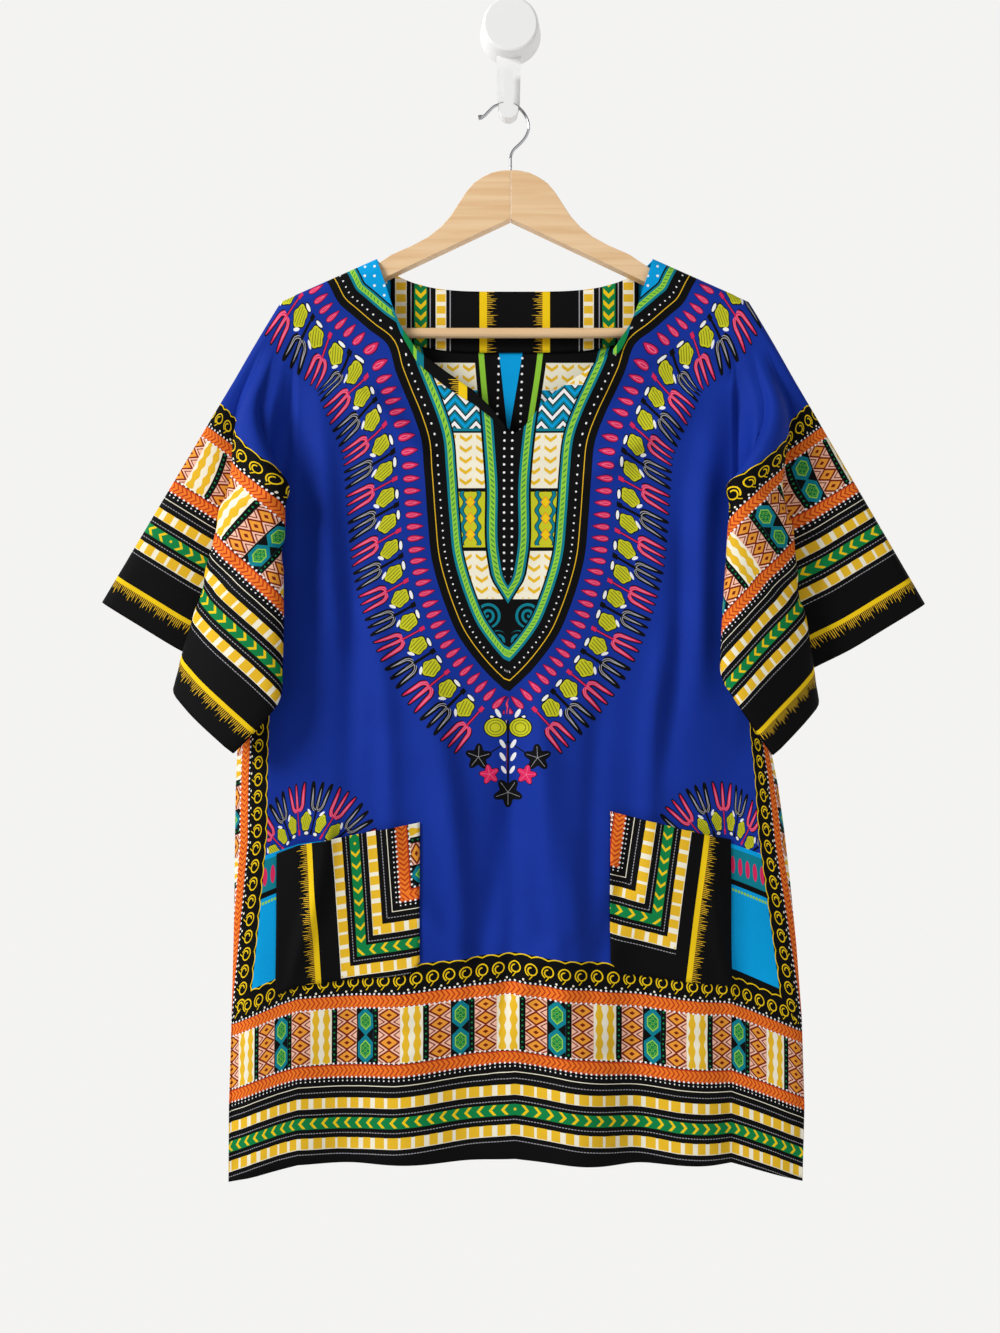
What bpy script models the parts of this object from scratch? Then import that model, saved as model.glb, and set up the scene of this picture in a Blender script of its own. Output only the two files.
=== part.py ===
"""Dashiki shirt on a wooden hanger that hangs from a round wall hook.

World axes: +X to the right as the shirt is seen, +Y into the wall, +Z up. The wall is the plane y = 0, and
the origin is the centre of the wall hook's back face. Sizes are in millimetres, and MM turns them to metres.

The cloth is described by its flat cut. "across" runs from the centre line along the shoulder, "down" runs from
the shoulder to the hem. middle() hangs a flat point on the surface halfway between the front and the back
panel, and half_gap() says how far each panel stands from that surface, which is nothing along a seam.
"""

import math

import bmesh
import bpy
import numpy as np
from mathutils import Matrix

MM = 0.001

# Cut of the cloth, flat
WALL = 1.6
SEAM_GAP = 0.15
NECK_HALF = 128
FOLD_START_ACROSS = 205
SIDE_SEAM_ACROSS = 294
CUFF_ACROSS = 551
SLEEVE_DEPTH = 258
LENGTH = 828
HEM_RISE_AT_SIDE = 26
SLIT_START_DOWN = 672
BACK_NECK_DEPTH = 27

TRIM_WALL = 1.2
POCKET_INNER_ACROSS = 90
POCKET_TOP_ROW = 13
POCKET_BOTTOM_ROW = 15
FACING_GAP = 0.5
FACING_ROWS = 4
FACING_HALF = 116

# Pockets: name, side, how far each reaches beyond the hanger's end as a share of a column, share the top edge
# is lowered at the side and at the middle, how far it gapes
POCKETS = (
    ("pocket_left", -1, 0.6, 0.3, 0.12, 10),
    ("pocket_right", 1, 0, 0.16, 0, 12),
)

# Neck edge turned out: name, side, and where it starts and ends out from the middle
SLIT_FLAPS = (
    ("slit_flap_left", -1, 113, 8),
    ("slit_flap_right", 1, 106, 90),
)

# Row places down every upright column of a panel, as shares of its length
ROW_SHARES = (
    0, 0.007, 0.024, 0.048, 0.078, 0.115, 0.16, 0.21, 0.27, 0.33,
    0.395, 0.46, 0.535, 0.617, 0.705, 0.795, 0.86, 0.93, 1,
)
LEVEL_FROM_SHARE = 0.33

# Where the cloth hangs
SHIRT_SHIFT = 4
HEM_SLOPE = 0.105
EVENED_FROM = 40
EVENED_BY = 620
SIDE_SAG = 0.4
SLIT_SHARE = 0.55
BACK_FOLD_SHARE = 0.7
HANGER_PLANE = -20
NECK_POINT_HEIGHT = -218.5
FOLD_START_X = 198
ARM_GAP = 9.6
SHOULDER_ROUND = 14
SIDE_ROUND = 40
SLEEVE_ROUND = 12
SLIT_OPENING = 60
FAN_SPAN_X = 19
FAN_SPAN_ACROSS = 21

# Wooden hanger
HANGER_TOP = -137
HANGER_NOTCH = 45
HANGER_REACH = 200
ARM_THICK = 12.6
ARM_SLOPE = 0.445
ARM_UNDER_SLOPE = 0.472
ARM_EDGE = 3
ARM_END_ROUND = 8
ARM_FOOT = -296
ARM_FOOT_START = 180
ARM_LOWERED = 5
ARM_TOP_PLACES = (0, 8, 17, 26, 34, 41, 48, 56, 65, 76, 90, 110, 122, 132, 165, 190)
BAR_RADIUS = 4.7
BAR_HEIGHT = -286.5

# Wire hook of the hanger
WIRE_RADIUS = 1.4
BEAD_RADIUS = 2.3

# Wall hook
KNOB_RADIUS = 28.8
KNOB_FRONT_RADIUS = 26
KNOB_DEPTH = 24
KNOB_EDGE = 2.4
STRAP_CENTRE = -1.8
STRAP_WIDTH = 23
STRAP_BACK = -9.5
STRAP_THICK = 3
STRAP_TOP = -25
STRAP_BOTTOM = -87.5
TONGUE_WIDTH = 9.4
TONGUE_TOP = -41.5
TONGUE_BACK = -20.5

# Top of the wall hook's cradle, where the wire rests: (x, z)
CRADLE_TOP = (
    (7.1, -77.5),
    (5, -75.7),
    (2, -74.3),
    (-2, -73),
    (-6, -73.4),
    (-10.7, -74.5),
)

# Route of the wire from its bead to the wood: (x, y, z)
WIRE_ROUTE = (
    (-30, -16.5, -84.6),
    (-25.5, -16.5, -83.6),
    (-20.6, -16.5, -79),
    (-15, -16.5, -74),
    (-9, -16.5, -71.8),
    (-2, -16.5, -71.2),
    (5, -16.5, -73.4),
    (11.5, -16.5, -79),
    (15.8, -16.6, -86.5),
    (17, -16.8, -94),
    (14.6, -17.1, -102),
    (8.6, -17.5, -109.6),
    (2.6, -18, -115.6),
    (0.2, -18.6, -121.5),
    (0, -19.3, -129),
    (0, -20, -136.6),
)
WIRE_POINTS = 44

# Colours and finishes
BLUE = (0.03, 0.06, 0.42)
BLACK = (0.01, 0.01, 0.01)
WOOD = (0.72, 0.45, 0.22)
STEEL = (0.75, 0.75, 0.76)
WHITE = (0.86, 0.86, 0.85)
CLOTH_ROUGHNESS = 0.8
WOOD_ROUGHNESS = 0.5

# Top outline of the hanger's right half, from the middle out: (out, drop)
HANGER_HUMP = (
    (0, 0),
    (13, 1.2),
    (25.7, 6.4),
    (36.8, 15),
    (44.2, 25),
    (53.4, 40),
    (64.4, 52.7),
    (79, 63.8),
    (99, 73.4),
    (122.3, 83.6),
)

# How the cloth fans out from the end of the hanger on each side, as seen in a ring round that end:
# (flat angle below the shoulder, hanging angle below the horizontal, depth in front, half gap)
FAN_LEFT = (
    (0, 59.2, 0, 4),
    (3, 62.1, 0.9, 4.4),
    (7, 66.1, 1.5, 4.5),
    (13.5, 72.5, 1, 3.6),
    (17.6, 77.3, 0.5, 2.4),
    (19.4, 78.6, 2.4, 2.2),
    (20.9, 79.1, 7.8, 2.2),
    (22.4, 78.6, 13.2, 2.2),
    (24.2, 77.2, 15.5, 2.2),
    (26.2, 75.6, 18.2, 2.2),
    (27.8, 75, 24, 2.2),
    (29.4, 75.6, 30, 2.4),
    (31.4, 77.3, 34.5, 2.8),
    (34, 80, 40.5, 3),
    (36.7, 83, 44.5, 3),
    (39.6, 86.1, 46.5, 2.6),
    (41.8, 88.1, 45.6, 2.3),
    (43.7, 89.2, 41, 2.2),
    (45.5, 88.6, 35.6, 2.2),
    (48.5, 87, 33.6, 2.2),
    (56, 84.6, 33, 2.2),
    (62.5, 83, 31, 2.2),
    (66, 82.2, 26.5, 2.2),
    (69.5, 82.3, 20.5, 2.3),
    (74, 83.2, 14, 3.4),
    (81, 85.6, 6, 7),
    (85.5, 87.8, 2.2, 10),
    (90, 90, 0, 13),
)
FAN_RIGHT = (
    (0, 59.7, 0, 4),
    (3, 62.6, 1.2, 4.4),
    (7, 66.6, 2, 4.5),
    (14, 73.4, 2, 4),
    (19.8, 80.5, 0.5, 2.6),
    (21.6, 81.9, 2.4, 2.2),
    (23.1, 82.4, 7.8, 2.2),
    (24.6, 81.9, 13.2, 2.2),
    (26.4, 80.9, 15.8, 2.2),
    (28.2, 80.3, 20.5, 2.2),
    (30, 80.7, 26.5, 2.3),
    (32, 82.2, 32.5, 2.6),
    (34.5, 84.3, 38.5, 2.8),
    (37.5, 86.9, 43.5, 3),
    (41, 89.7, 46.8, 3),
    (44, 91.9, 47, 2.6),
    (46.2, 93.2, 43.5, 2.3),
    (48, 93.2, 38, 2.2),
    (50.4, 92, 34.8, 2.2),
    (56, 90, 33.8, 2.2),
    (62.5, 88, 32, 2.2),
    (66.5, 86.9, 27, 2.2),
    (70, 86.6, 20.5, 2.3),
    (74, 86.8, 14, 3.4),
    (81, 88, 6, 7),
    (85.5, 89, 2.2, 10),
    (90, 90, 0, 13),
)

# Share of its flat width that the strip beyond the hanger keeps: (down, left share, right share)
SIDE_STRIP = (
    (0, 0.5, 0.3),
    (240, 0.5, 0.3),
    (400, 0.64, 0.38),
    (450, 0.67, 0.5),
    (510, 0.68, 0.6),
    (570, 0.69, 0.68),
    (660, 0.715, 0.76),
    (850, 0.725, 0.73),
)

# Upright folds of each panel: (place at the hem, place at the top, down where it starts, width, depth forward)
FRONT_FOLDS = (
    (-214, -200, 420, 30, 5),
    (-150, -135, 300, 30, -4),
    (-98, -90, 260, 34, 7),
    (-44, -30, 330, 26, -4),
    (62, 40, 240, 36, 13),
    (112, 96, 330, 22, -5),
    (170, 150, 300, 34, 6),
    (205, 190, 120, 20, -6),
)
BACK_FOLDS = (
    (-180, -160, 320, 34, -3.5),
    (-115, -95, 250, 36, 5),
    (-30, -24, 300, 38, -3.5),
    (48, 40, 240, 34, 6),
    (120, 100, 330, 32, -3),
    (184, 170, 280, 30, 4.5),
)

# Neck edge of the front panel on each side, out from the middle: (across, down)
FRONT_NECK = (
    (0, 163),
    (8, 158),
    (22, 140),
    (38, 124),
    (64, 106),
    (90, 87),
    (106, 63),
    (113, 46),
    (120, 24),
    (124.5, 11),
    (127, 3.5),
    (128, 0),
)


def smooth_step(start, end, value):
    """0 before start, 1 after end, and an even rise between them."""
    share = np.clip((np.asarray(value, float) - start) / (end - start), 0, 1)
    return share * share * (3 - 2 * share)


def through(rows, column, value):
    """A smooth curve through a table's first column and another of its columns."""
    table = np.array(rows, float)
    place = table[:, 0]
    height = table[:, column]
    slope = np.gradient(height, place)
    value = np.clip(value, place[0], place[-1])
    row = np.clip(np.searchsorted(place, value, side="right") - 1, 0, len(place) - 2)
    width = place[row + 1] - place[row]
    share = (value - place[row]) / width
    start = height[row] * (1 + 2 * share) * (1 - share) ** 2
    end = height[row + 1] * share**2 * (3 - 2 * share)
    lean = width * share * (1 - share) * (slope[row] * (1 - share) - slope[row + 1] * share)
    return start + end + lean


def round_edge(distance, radius):
    """Rises from 0 at an edge to 1 at the radius, as a quarter circle does."""
    share = np.clip(distance / radius, 0, 1)
    return np.sqrt(np.clip(1 - (1 - share) ** 2, 0, 1))


def arm_drop(out):
    """How far the hanger's top outline lies below its highest point."""
    out = np.abs(out)
    last_out, last_drop = HANGER_HUMP[-1]
    beyond = np.clip(out - last_out, 0, None)
    return through(HANGER_HUMP, 1, np.clip(out, 0, last_out)) + beyond * ARM_SLOPE


def shoulder_drop(out):
    """How far the shoulder line lies below the neck point, along the arms of the hanger."""
    return np.clip(np.abs(out) - NECK_HALF, 0, None) * ARM_SLOPE


def hem_drop(out):
    """How far a level line of the cut has sunk near the hem, where the shoulder's slope has evened out."""
    return HEM_SLOPE * np.abs(out)


def place_across(across):
    """Where an upright line of the cut hangs between the two ends of the hanger."""
    beyond = np.clip(np.abs(across) - NECK_HALF, 0, None)
    shrink = (FOLD_START_X - NECK_HALF) / (FOLD_START_ACROSS - NECK_HALF)
    return np.sign(across) * (np.minimum(np.abs(across), NECK_HALF) + beyond * shrink)


def upright_folds(rows, out, down):
    """Soft upright folds that widen and deepen towards the hem."""
    total = np.zeros(np.broadcast(out, down).shape)
    for at_hem, at_top, start, width, depth in rows:
        share = smooth_step(start, LENGTH, down)
        centre = at_top + (at_hem - at_top) * down / LENGTH
        total = total + depth * share * np.exp(-(((out - centre) / width) ** 2))
    return total


def front_depth(out, down):
    """Inner face of the front panel, as a depth in front of the wall."""
    hang = HANGER_PLANE - ARM_GAP - 8.5 * smooth_step(30, 480, down) - 2 * smooth_step(480, LENGTH, down)
    return hang - upright_folds(FRONT_FOLDS, out, down)


def back_depth(out, down):
    """Inner face of the back panel, as a depth in front of the wall."""
    hang = HANGER_PLANE + ARM_GAP + 2.5 * smooth_step(30, 300, down)
    folds = upright_folds(BACK_FOLDS, out, down) * BACK_FOLD_SHARE
    return hang - folds - 1.5 * smooth_step(500, LENGTH, down)


def fan_start(angle):
    """How far along the shoulder the fan's line of this flat angle leaves it, as a share of the fan's span."""
    return 1 - angle / 90


def fan_of(across, down):
    """The flat angle and radius of a point of the cut in the fan, found by halving the angle's range."""
    beyond = np.abs(across) - FOLD_START_ACROSS
    low = np.zeros(np.broadcast(beyond, down).shape)
    high = low + 90
    for _ in range(26):
        angle = (low + high) / 2
        out = beyond - FAN_SPAN_ACROSS * fan_start(angle)
        steeper = np.degrees(np.arctan2(down, out)) > angle
        low = np.where(steeper, angle, low)
        high = np.where(steeper, high, angle)
    angle = (low + high) / 2
    return angle, np.hypot(beyond - FAN_SPAN_ACROSS * fan_start(angle), down)


def fan_column(column, across, angle):
    """A column of the fan table of the side that each point lies on."""
    left = through(FAN_LEFT, column, angle)
    right = through(FAN_RIGHT, column, angle)
    return np.where(across < 0, left, right)


def strip_share(across, down):
    left = through(SIDE_STRIP, 1, down)
    right = through(SIDE_STRIP, 2, down)
    return np.where(across < 0, left, right)


def strip_blend(angle, radius):
    """1 on the strip beside the side seam, below the armpit, and 0 on the sleeve."""
    return smooth_step(69, 78, angle) * smooth_step(215, 330, radius)


def middle(across, down):
    """Hangs flat points on the surface halfway between the panels, as x, y and z in the last axis."""
    across = np.asarray(across, float)
    down = np.asarray(down, float)
    out = place_across(np.clip(across, -FOLD_START_ACROSS, FOLD_START_ACROSS))
    evened = smooth_step(EVENED_FROM, EVENED_BY, down)
    sunk = shoulder_drop(out) * (1 - evened) + hem_drop(out) * evened
    depth = (front_depth(out, down) + back_depth(out, down)) / 2
    body = np.stack([out, depth, NECK_POINT_HEIGHT - down - sunk], axis=-1)

    angle, radius = fan_of(across, down)
    folded_hang = fan_column(1, across, angle)
    first = np.where(across < 0, FAN_LEFT[0][1], FAN_RIGHT[0][1])
    even_hang = first + (90 - first) * angle / 90
    hang = even_hang + (folded_hang - even_hang) * smooth_step(90, 190, radius)
    strip = strip_blend(angle, radius)
    strip_hang = 90 - strip_share(across, down) * (90 - angle)
    hang = hang + (strip_hang - hang) * strip
    turn = np.radians(hang)
    side = np.where(across < 0, -1.0, 1.0)
    start_x = side * (FOLD_START_X + FAN_SPAN_X * fan_start(angle))
    start_z = NECK_POINT_HEIGHT - shoulder_drop(start_x)
    eased = shoulder_drop(FOLD_START_X) - hem_drop(FOLD_START_X)
    lift = eased * evened * smooth_step(50, 85, angle)
    reach = radius * np.cos(turn)
    sink = radius * np.sin(turn)
    sag = SIDE_SAG * np.clip(reach, 0, None) * strip * smooth_step(300, 620, radius)
    base = (front_depth(side * FOLD_START_X, down) + back_depth(side * FOLD_START_X, down)) / 2
    forward = fan_column(2, across, angle) * smooth_step(45, 155, radius) * (1 - strip)
    fan = np.stack([start_x + side * reach, base - forward, start_z - sink + lift - sag], axis=-1)
    point = np.where((np.abs(across) > FOLD_START_ACROSS)[..., None], fan, body)
    point[..., 0] += SHIRT_SHIFT
    return point


def seam_distance(across, down):
    """How far a flat point is from the underarm seam and the side seam."""
    out = np.abs(across)
    below = down > SLEEVE_DEPTH
    beside = out > SIDE_SEAM_ACROSS
    corner = np.hypot(SIDE_SEAM_ACROSS - out, SLEEVE_DEPTH - down)
    return np.where(below, SIDE_SEAM_ACROSS - out, np.where(beside, SLEEVE_DEPTH - down, corner))


def half_gap(across, down):
    """How far each panel stands from the middle surface. It is 0 at the shoulder and along the sewn seams."""
    across = np.asarray(across, float)
    down = np.asarray(down, float)
    out = place_across(np.clip(across, -FOLD_START_ACROSS, FOLD_START_ACROSS))
    angle, radius = fan_of(across, down)
    beyond = np.abs(across) > FOLD_START_ACROSS
    body = (back_depth(out, down) - front_depth(out, down)) / 2
    fan = fan_column(3, across, angle)
    fan = fan * (0.3 + 0.7 * smooth_step(110, 260, radius))
    fan = fan + (body - fan) * np.maximum(smooth_step(78, 90, angle), strip_blend(angle, radius))
    fan = ARM_GAP + (fan - ARM_GAP) * smooth_step(40, 110, radius)
    gap = np.where(beyond, fan, body)
    distance = np.clip(seam_distance(across, down), 0, None)
    seam_radius = np.where(np.abs(across) > SIDE_SEAM_ACROSS, SLEEVE_ROUND, SIDE_ROUND)
    sewn = round_edge(distance, seam_radius)
    open_slit = SLIT_SHARE * smooth_step(SLIT_START_DOWN, SLIT_START_DOWN + SLIT_OPENING, down)
    sewn = np.maximum(sewn, np.where(beyond, open_slit, 0))
    return gap * sewn * round_edge(down, SHOULDER_ROUND)


def facing_way(across, down):
    """The middle surface's direction to the front, which near the hanger's end is straight out of the wall."""
    step = 0.6
    along = middle(across + step, down) - middle(across - step, down)
    fall = middle(across, down + step) - middle(across, np.maximum(down - step, 0))
    way = -np.cross(along, fall)
    way = way / np.maximum(np.linalg.norm(way, axis=-1, keepdims=True), 1e-9)
    angle, radius = fan_of(across, down)
    beyond = np.abs(across) > FOLD_START_ACROSS
    strip = np.maximum(smooth_step(70, 84, angle), strip_blend(angle, radius))
    turned = np.where(beyond, smooth_step(60, 150, radius) * (1 - strip), 0)[..., None]
    straight = np.zeros_like(way)
    straight[..., 1] = -1
    way = straight + (way - straight) * turned
    return way / np.linalg.norm(way, axis=-1, keepdims=True)


def on_panel(side, across, down, lift=0.0):
    """A point of a panel's inner face, moved out by lift. Side is 1 for the front panel and -1 for the back."""
    across = np.asarray(across, float)
    down = np.asarray(down, float)
    offset = side * (half_gap(across, down) + SEAM_GAP + lift)
    return middle(across, down) + facing_way(across, down) * np.asarray(offset)[..., None]


def hem_down(across):
    """The hem's place in the cut, which is turned up further towards the sides."""
    return LENGTH - HEM_RISE_AT_SIDE * (np.abs(across) / SIDE_SEAM_ACROSS) ** 1.3


def fan_reach(angle):
    """How far the cut reaches from the shoulder at a flat angle: to the cuff, the seams or the hem."""
    turn = math.radians(angle)
    along = max(math.cos(turn), 1e-9)
    start = FOLD_START_ACROSS + FAN_SPAN_ACROSS * fan_start(angle)
    under = SLEEVE_DEPTH / max(math.sin(turn), 1e-9)
    side = (SIDE_SEAM_ACROSS - start) / along
    if side < under:
        return min((CUFF_ACROSS - start) / along, under)
    hem = LENGTH
    for _ in range(8):
        hem = hem_down(start + hem * along) / math.sin(turn)
    return min(side, hem)


def fan_angles(rows):
    """The fan's flat angles, with one at each corner of the cut."""
    places = np.array([CUFF_ACROSS, SIDE_SEAM_ACROSS, SIDE_SEAM_ACROSS], float)
    downs = np.array([SLEEVE_DEPTH, SLEEVE_DEPTH, hem_down(SIDE_SEAM_ACROSS)], float)
    corners = fan_of(places, downs)[0].tolist()
    kept = [row[0] for row in rows if min(abs(row[0] - corner) for corner in corners) > 1.2]
    return sorted(kept + corners, reverse=True)[1:]


def column_fan(angle, side, shares):
    """The flat points of one column of a sleeve, from the shoulder outwards."""
    turn = math.radians(angle)
    radius = fan_reach(angle) * shares
    start = FOLD_START_ACROSS + FAN_SPAN_ACROSS * fan_start(angle)
    return side * (start + radius * math.cos(turn)), radius * math.sin(turn)


def column_body(across, top, shares):
    """The flat points of one upright column of the body."""
    bottom = hem_down(across)
    level = LEVEL_FROM_SHARE * bottom
    above = top + (level - top) * shares / LEVEL_FROM_SHARE
    return np.full(len(shares), float(across)), np.where(shares < LEVEL_FROM_SHARE, above, bottom * shares)


def fan_shares(angle):
    """Row places on a column of the fan: even on the sleeve, and the body's own beside the body."""
    upright = np.array(ROW_SHARES)
    even = np.linspace(0, 1, len(upright)) ** 1.05
    return even + (upright - even) * smooth_step(55, 80, angle)


def panel_cut(neck_columns):
    """The whole flat cut of a panel as one grid of (across, down), its columns running down."""
    upright = np.array(ROW_SHARES)
    columns = [column_fan(angle, -1, fan_shares(angle)) for angle in reversed(fan_angles(FAN_LEFT))]
    between = np.linspace(FOLD_START_ACROSS, NECK_HALF, 6)[:-1]
    half = [(out, 0.0) for out in between] + [(out, top) for out, top in reversed(neck_columns)]
    columns += [column_body(-out, top, upright) for out, top in half]
    columns += [column_body(out, top, upright) for out, top in reversed(half) if out > 0]
    columns += [column_fan(angle, 1, fan_shares(angle)) for angle in fan_angles(FAN_RIGHT)]
    across = np.array([column[0] for column in columns])
    down = np.array([column[1] for column in columns])
    return across, down


def grid_mesh(name, points, flip):
    """An open surface from a grid of points in millimetres, kept in the grid's order."""
    columns, rows = points.shape[:2]
    number = np.arange(columns * rows).reshape(columns, rows)
    corners = [number[:-1, :-1], number[1:, :-1], number[1:, 1:], number[:-1, 1:]]
    if flip:
        corners.reverse()
    faces = np.stack([corner.ravel() for corner in corners], axis=-1)
    mesh = bpy.data.meshes.new(name)
    mesh.from_pydata((points.reshape(-1, 3) * MM).tolist(), [], faces.tolist())
    mesh.shade_smooth()
    return mesh


def grid_normals(mesh, shape):
    """The mesh's point normals, as a grid."""
    normals = np.empty(len(mesh.vertices) * 3)
    mesh.vertices.foreach_get("normal", normals)
    return normals.reshape(*shape, 3)


def add_object(name, data, collection):
    item = bpy.data.objects.new(name, data)
    collection.objects.link(item)
    return item


def add_material(item, colour, roughness, metallic=0.0):
    """Gives the object its own Principled material."""
    material = bpy.data.materials.new(item.name)
    material.use_nodes = True
    shader = material.node_tree.nodes["Principled BSDF"]
    shader.inputs["Base Color"].default_value = (*colour, 1)
    shader.inputs["Roughness"].default_value = roughness
    shader.inputs["Metallic"].default_value = metallic
    item.data.materials.append(material)


def add_cloth(name, points, flip, colour, collection, wall=WALL):
    """A wall of cloth whose inner face is the grid of points."""
    item = add_object(name, grid_mesh(name, points, flip), collection)
    solid = item.modifiers.new("wall", "SOLIDIFY")
    solid.thickness = wall * MM
    solid.offset = 1
    add_material(item, colour, CLOTH_ROUGHNESS)
    return item


def column_at(across, place):
    """The grid column whose top lies nearest to a place on the cut."""
    return int(np.argmin(np.abs(across[:, 0] - place)))


def make_front(collection):
    """The front panel, cut in one with the front half of both sleeves, and what is sewn to it."""
    across, down = panel_cut(FRONT_NECK)
    points = on_panel(1, across, down)
    panel = add_cloth("front_panel", points, True, BLUE, collection)
    outer = points + grid_normals(panel.data, across.shape) * (WALL + 2 * SEAM_GAP)
    for name, side, reach, low_at_side, low_at_middle, gape in POCKETS:
        rows = outer[:, POCKET_TOP_ROW : POCKET_BOTTOM_ROW + 1]
        edge = column_at(across, side * FOLD_START_ACROSS)
        first, last = sorted((column_at(across, side * POCKET_INNER_ACROSS), edge))
        patch = rows[first : last + 1].copy()
        if reach:
            beyond = rows[edge] + (rows[edge + side] - rows[edge]) * reach
            patch = np.concatenate([[beyond], patch] if side < 0 else [patch, [beyond]])
        along = np.linspace(0, 1, len(patch))
        lowered = np.interp(along if side < 0 else along[::-1], (0, 1), (low_at_side, low_at_middle))
        patch[:, 0] += (patch[:, 1] - patch[:, 0]) * lowered[:, None]
        patch[:, 0, 1] -= gape * np.sin(math.pi * along)
        add_cloth(name, patch, True, BLACK, collection, TRIM_WALL)
    for name, side, widest, narrowest in SLIT_FLAPS:
        first, last = sorted((column_at(across, side * widest), column_at(across, side * narrowest)))
        strip = outer[first : last + 1, :3]
        add_cloth(name, strip, True, BLACK, collection, TRIM_WALL)


def make_back(collection):
    """The back panel and, on its inside, the facing along the neck."""
    neck = [(out, BACK_NECK_DEPTH * (1 - (out / NECK_HALF) ** 4)) for out in (0, 40, 75, 100, 116, 123, 126.4, 128)]
    across, down = panel_cut(neck)
    points = on_panel(-1, across, down)
    panel = add_cloth("back_panel", points, False, BLUE, collection)
    inward = points - grid_normals(panel.data, across.shape) * FACING_GAP
    first = column_at(across, -FACING_HALF)
    last = column_at(across, FACING_HALF)
    strip = inward[first : last + 1, : FACING_ROWS + 1]
    add_cloth("neck_facing", strip, True, BLACK, collection, TRIM_WALL)


def outline_solid(name, outline, thickness, collection):
    """A flat outline of (x, z) points in millimetres, thickened along y about the plane y = 0."""
    curve = bpy.data.curves.new(name, "CURVE")
    curve.dimensions = "2D"
    curve.fill_mode = "BOTH"
    curve.extrude = thickness / 2 * MM
    spline = curve.splines.new("POLY")
    spline.points.add(len(outline) - 1)
    for point, (out, up) in zip(spline.points, outline):
        point.co = (out * MM, up * MM, 0, 1)
    spline.use_cyclic_u = True
    drawn = bpy.data.objects.new(name + "_outline", curve)
    bpy.context.scene.collection.objects.link(drawn)
    seen = drawn.evaluated_get(bpy.context.evaluated_depsgraph_get())
    mesh = bpy.data.meshes.new_from_object(seen)
    bpy.data.objects.remove(drawn)
    work = bmesh.new()
    work.from_mesh(mesh)
    bmesh.ops.remove_doubles(work, verts=work.verts, dist=0.000005)
    bmesh.ops.rotate(work, verts=work.verts, matrix=Matrix.Rotation(math.pi / 2, 3, "X"))
    bmesh.ops.recalc_face_normals(work, faces=work.faces)
    work.to_mesh(mesh)
    work.free()
    mesh.name = name
    return add_object(name, mesh, collection)


def arc(centre_out, centre_up, radius, start, end, count):
    """Points of (x, z) along an arc, its angles in degrees from +x towards +z."""
    turns = [math.radians(start + (end - start) * step / (count - 1)) for step in range(count)]
    return [(centre_out + radius * math.cos(turn), centre_up + radius * math.sin(turn)) for turn in turns]


def make_hanger(collection):
    """The hanger's two arms, mitred together at the middle, and the bar between their ends."""
    lowered = [ARM_LOWERED * float(smooth_step(112, 130, out)) for out in ARM_TOP_PLACES]
    top = [(out, HANGER_TOP - float(arm_drop(out)) - less) for out, less in zip(ARM_TOP_PLACES, lowered)]
    end_top = HANGER_TOP - float(arm_drop(HANGER_REACH)) - ARM_LOWERED
    shoulder = arc(HANGER_REACH - ARM_END_ROUND, end_top - ARM_END_ROUND + 1.5, ARM_END_ROUND, 62, 0, 5)
    foot = arc(HANGER_REACH - ARM_END_ROUND, ARM_FOOT + ARM_END_ROUND, ARM_END_ROUND, 0, -90, 5)
    heel = [(ARM_FOOT_START, ARM_FOOT)]
    under_start = HANGER_TOP - HANGER_NOTCH - ARM_UNDER_SLOPE * ARM_FOOT_START
    under = [(ARM_FOOT_START, under_start), (0, HANGER_TOP - HANGER_NOTCH)]
    half = top + shoulder + foot + heel + under
    for name, side in (("hanger_arm_left", -1), ("hanger_arm_right", 1)):
        moved = [(side * (out + SEAM_GAP), up) for out, up in half]
        arm = outline_solid(name, moved, ARM_THICK, collection)
        arm.location = (0, HANGER_PLANE * MM, 0)
        bevel = arm.modifiers.new("eased edge", "BEVEL")
        bevel.width = ARM_EDGE * MM
        bevel.segments = 2
        bevel.limit_method = "ANGLE"
        bevel.angle_limit = math.radians(60)
        add_material(arm, WOOD, WOOD_ROUGHNESS)
    length = 2 * (ARM_FOOT_START - 2 * SEAM_GAP)
    mesh = bpy.data.meshes.new("hanger_bar")
    work = bmesh.new()
    turn = Matrix.Rotation(math.pi / 2, 4, "Y")
    size = BAR_RADIUS * MM
    bmesh.ops.create_cone(
        work, cap_ends=True, segments=16, radius1=size, radius2=size, depth=length * MM, matrix=turn
    )
    work.to_mesh(mesh)
    work.free()
    bar = add_object("hanger_bar", mesh, collection)
    bar.location = (0, HANGER_PLANE * MM, BAR_HEIGHT * MM)
    add_material(bar, WOOD, WOOD_ROUGHNESS)


def make_wire(collection):
    """The hanger's wire hook, from its bead, over the wall hook's cradle and down into the wood."""
    route = np.array(WIRE_ROUTE, float)
    place = np.concatenate([[0], np.cumsum(np.linalg.norm(np.diff(route, axis=0), axis=1))])
    at = np.linspace(0, place[-1], WIRE_POINTS)
    smooth = [through(np.stack([place, route[:, column]], axis=1), 1, at) for column in range(3)]
    curve = bpy.data.curves.new("wire_hook", "CURVE")
    curve.dimensions = "3D"
    curve.bevel_depth = WIRE_RADIUS * MM
    curve.bevel_resolution = 2
    curve.use_fill_caps = True
    spline = curve.splines.new("POLY")
    spline.points.add(WIRE_POINTS - 1)
    for step, point in enumerate(spline.points):
        point.co = (smooth[0][step] * MM, smooth[1][step] * MM, smooth[2][step] * MM, 1)
        point.radius = BEAD_RADIUS / WIRE_RADIUS if step < 2 else 1
    wire = add_object("wire_hook", curve, collection)
    add_material(wire, STEEL, 0.25, 1.0)


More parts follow.
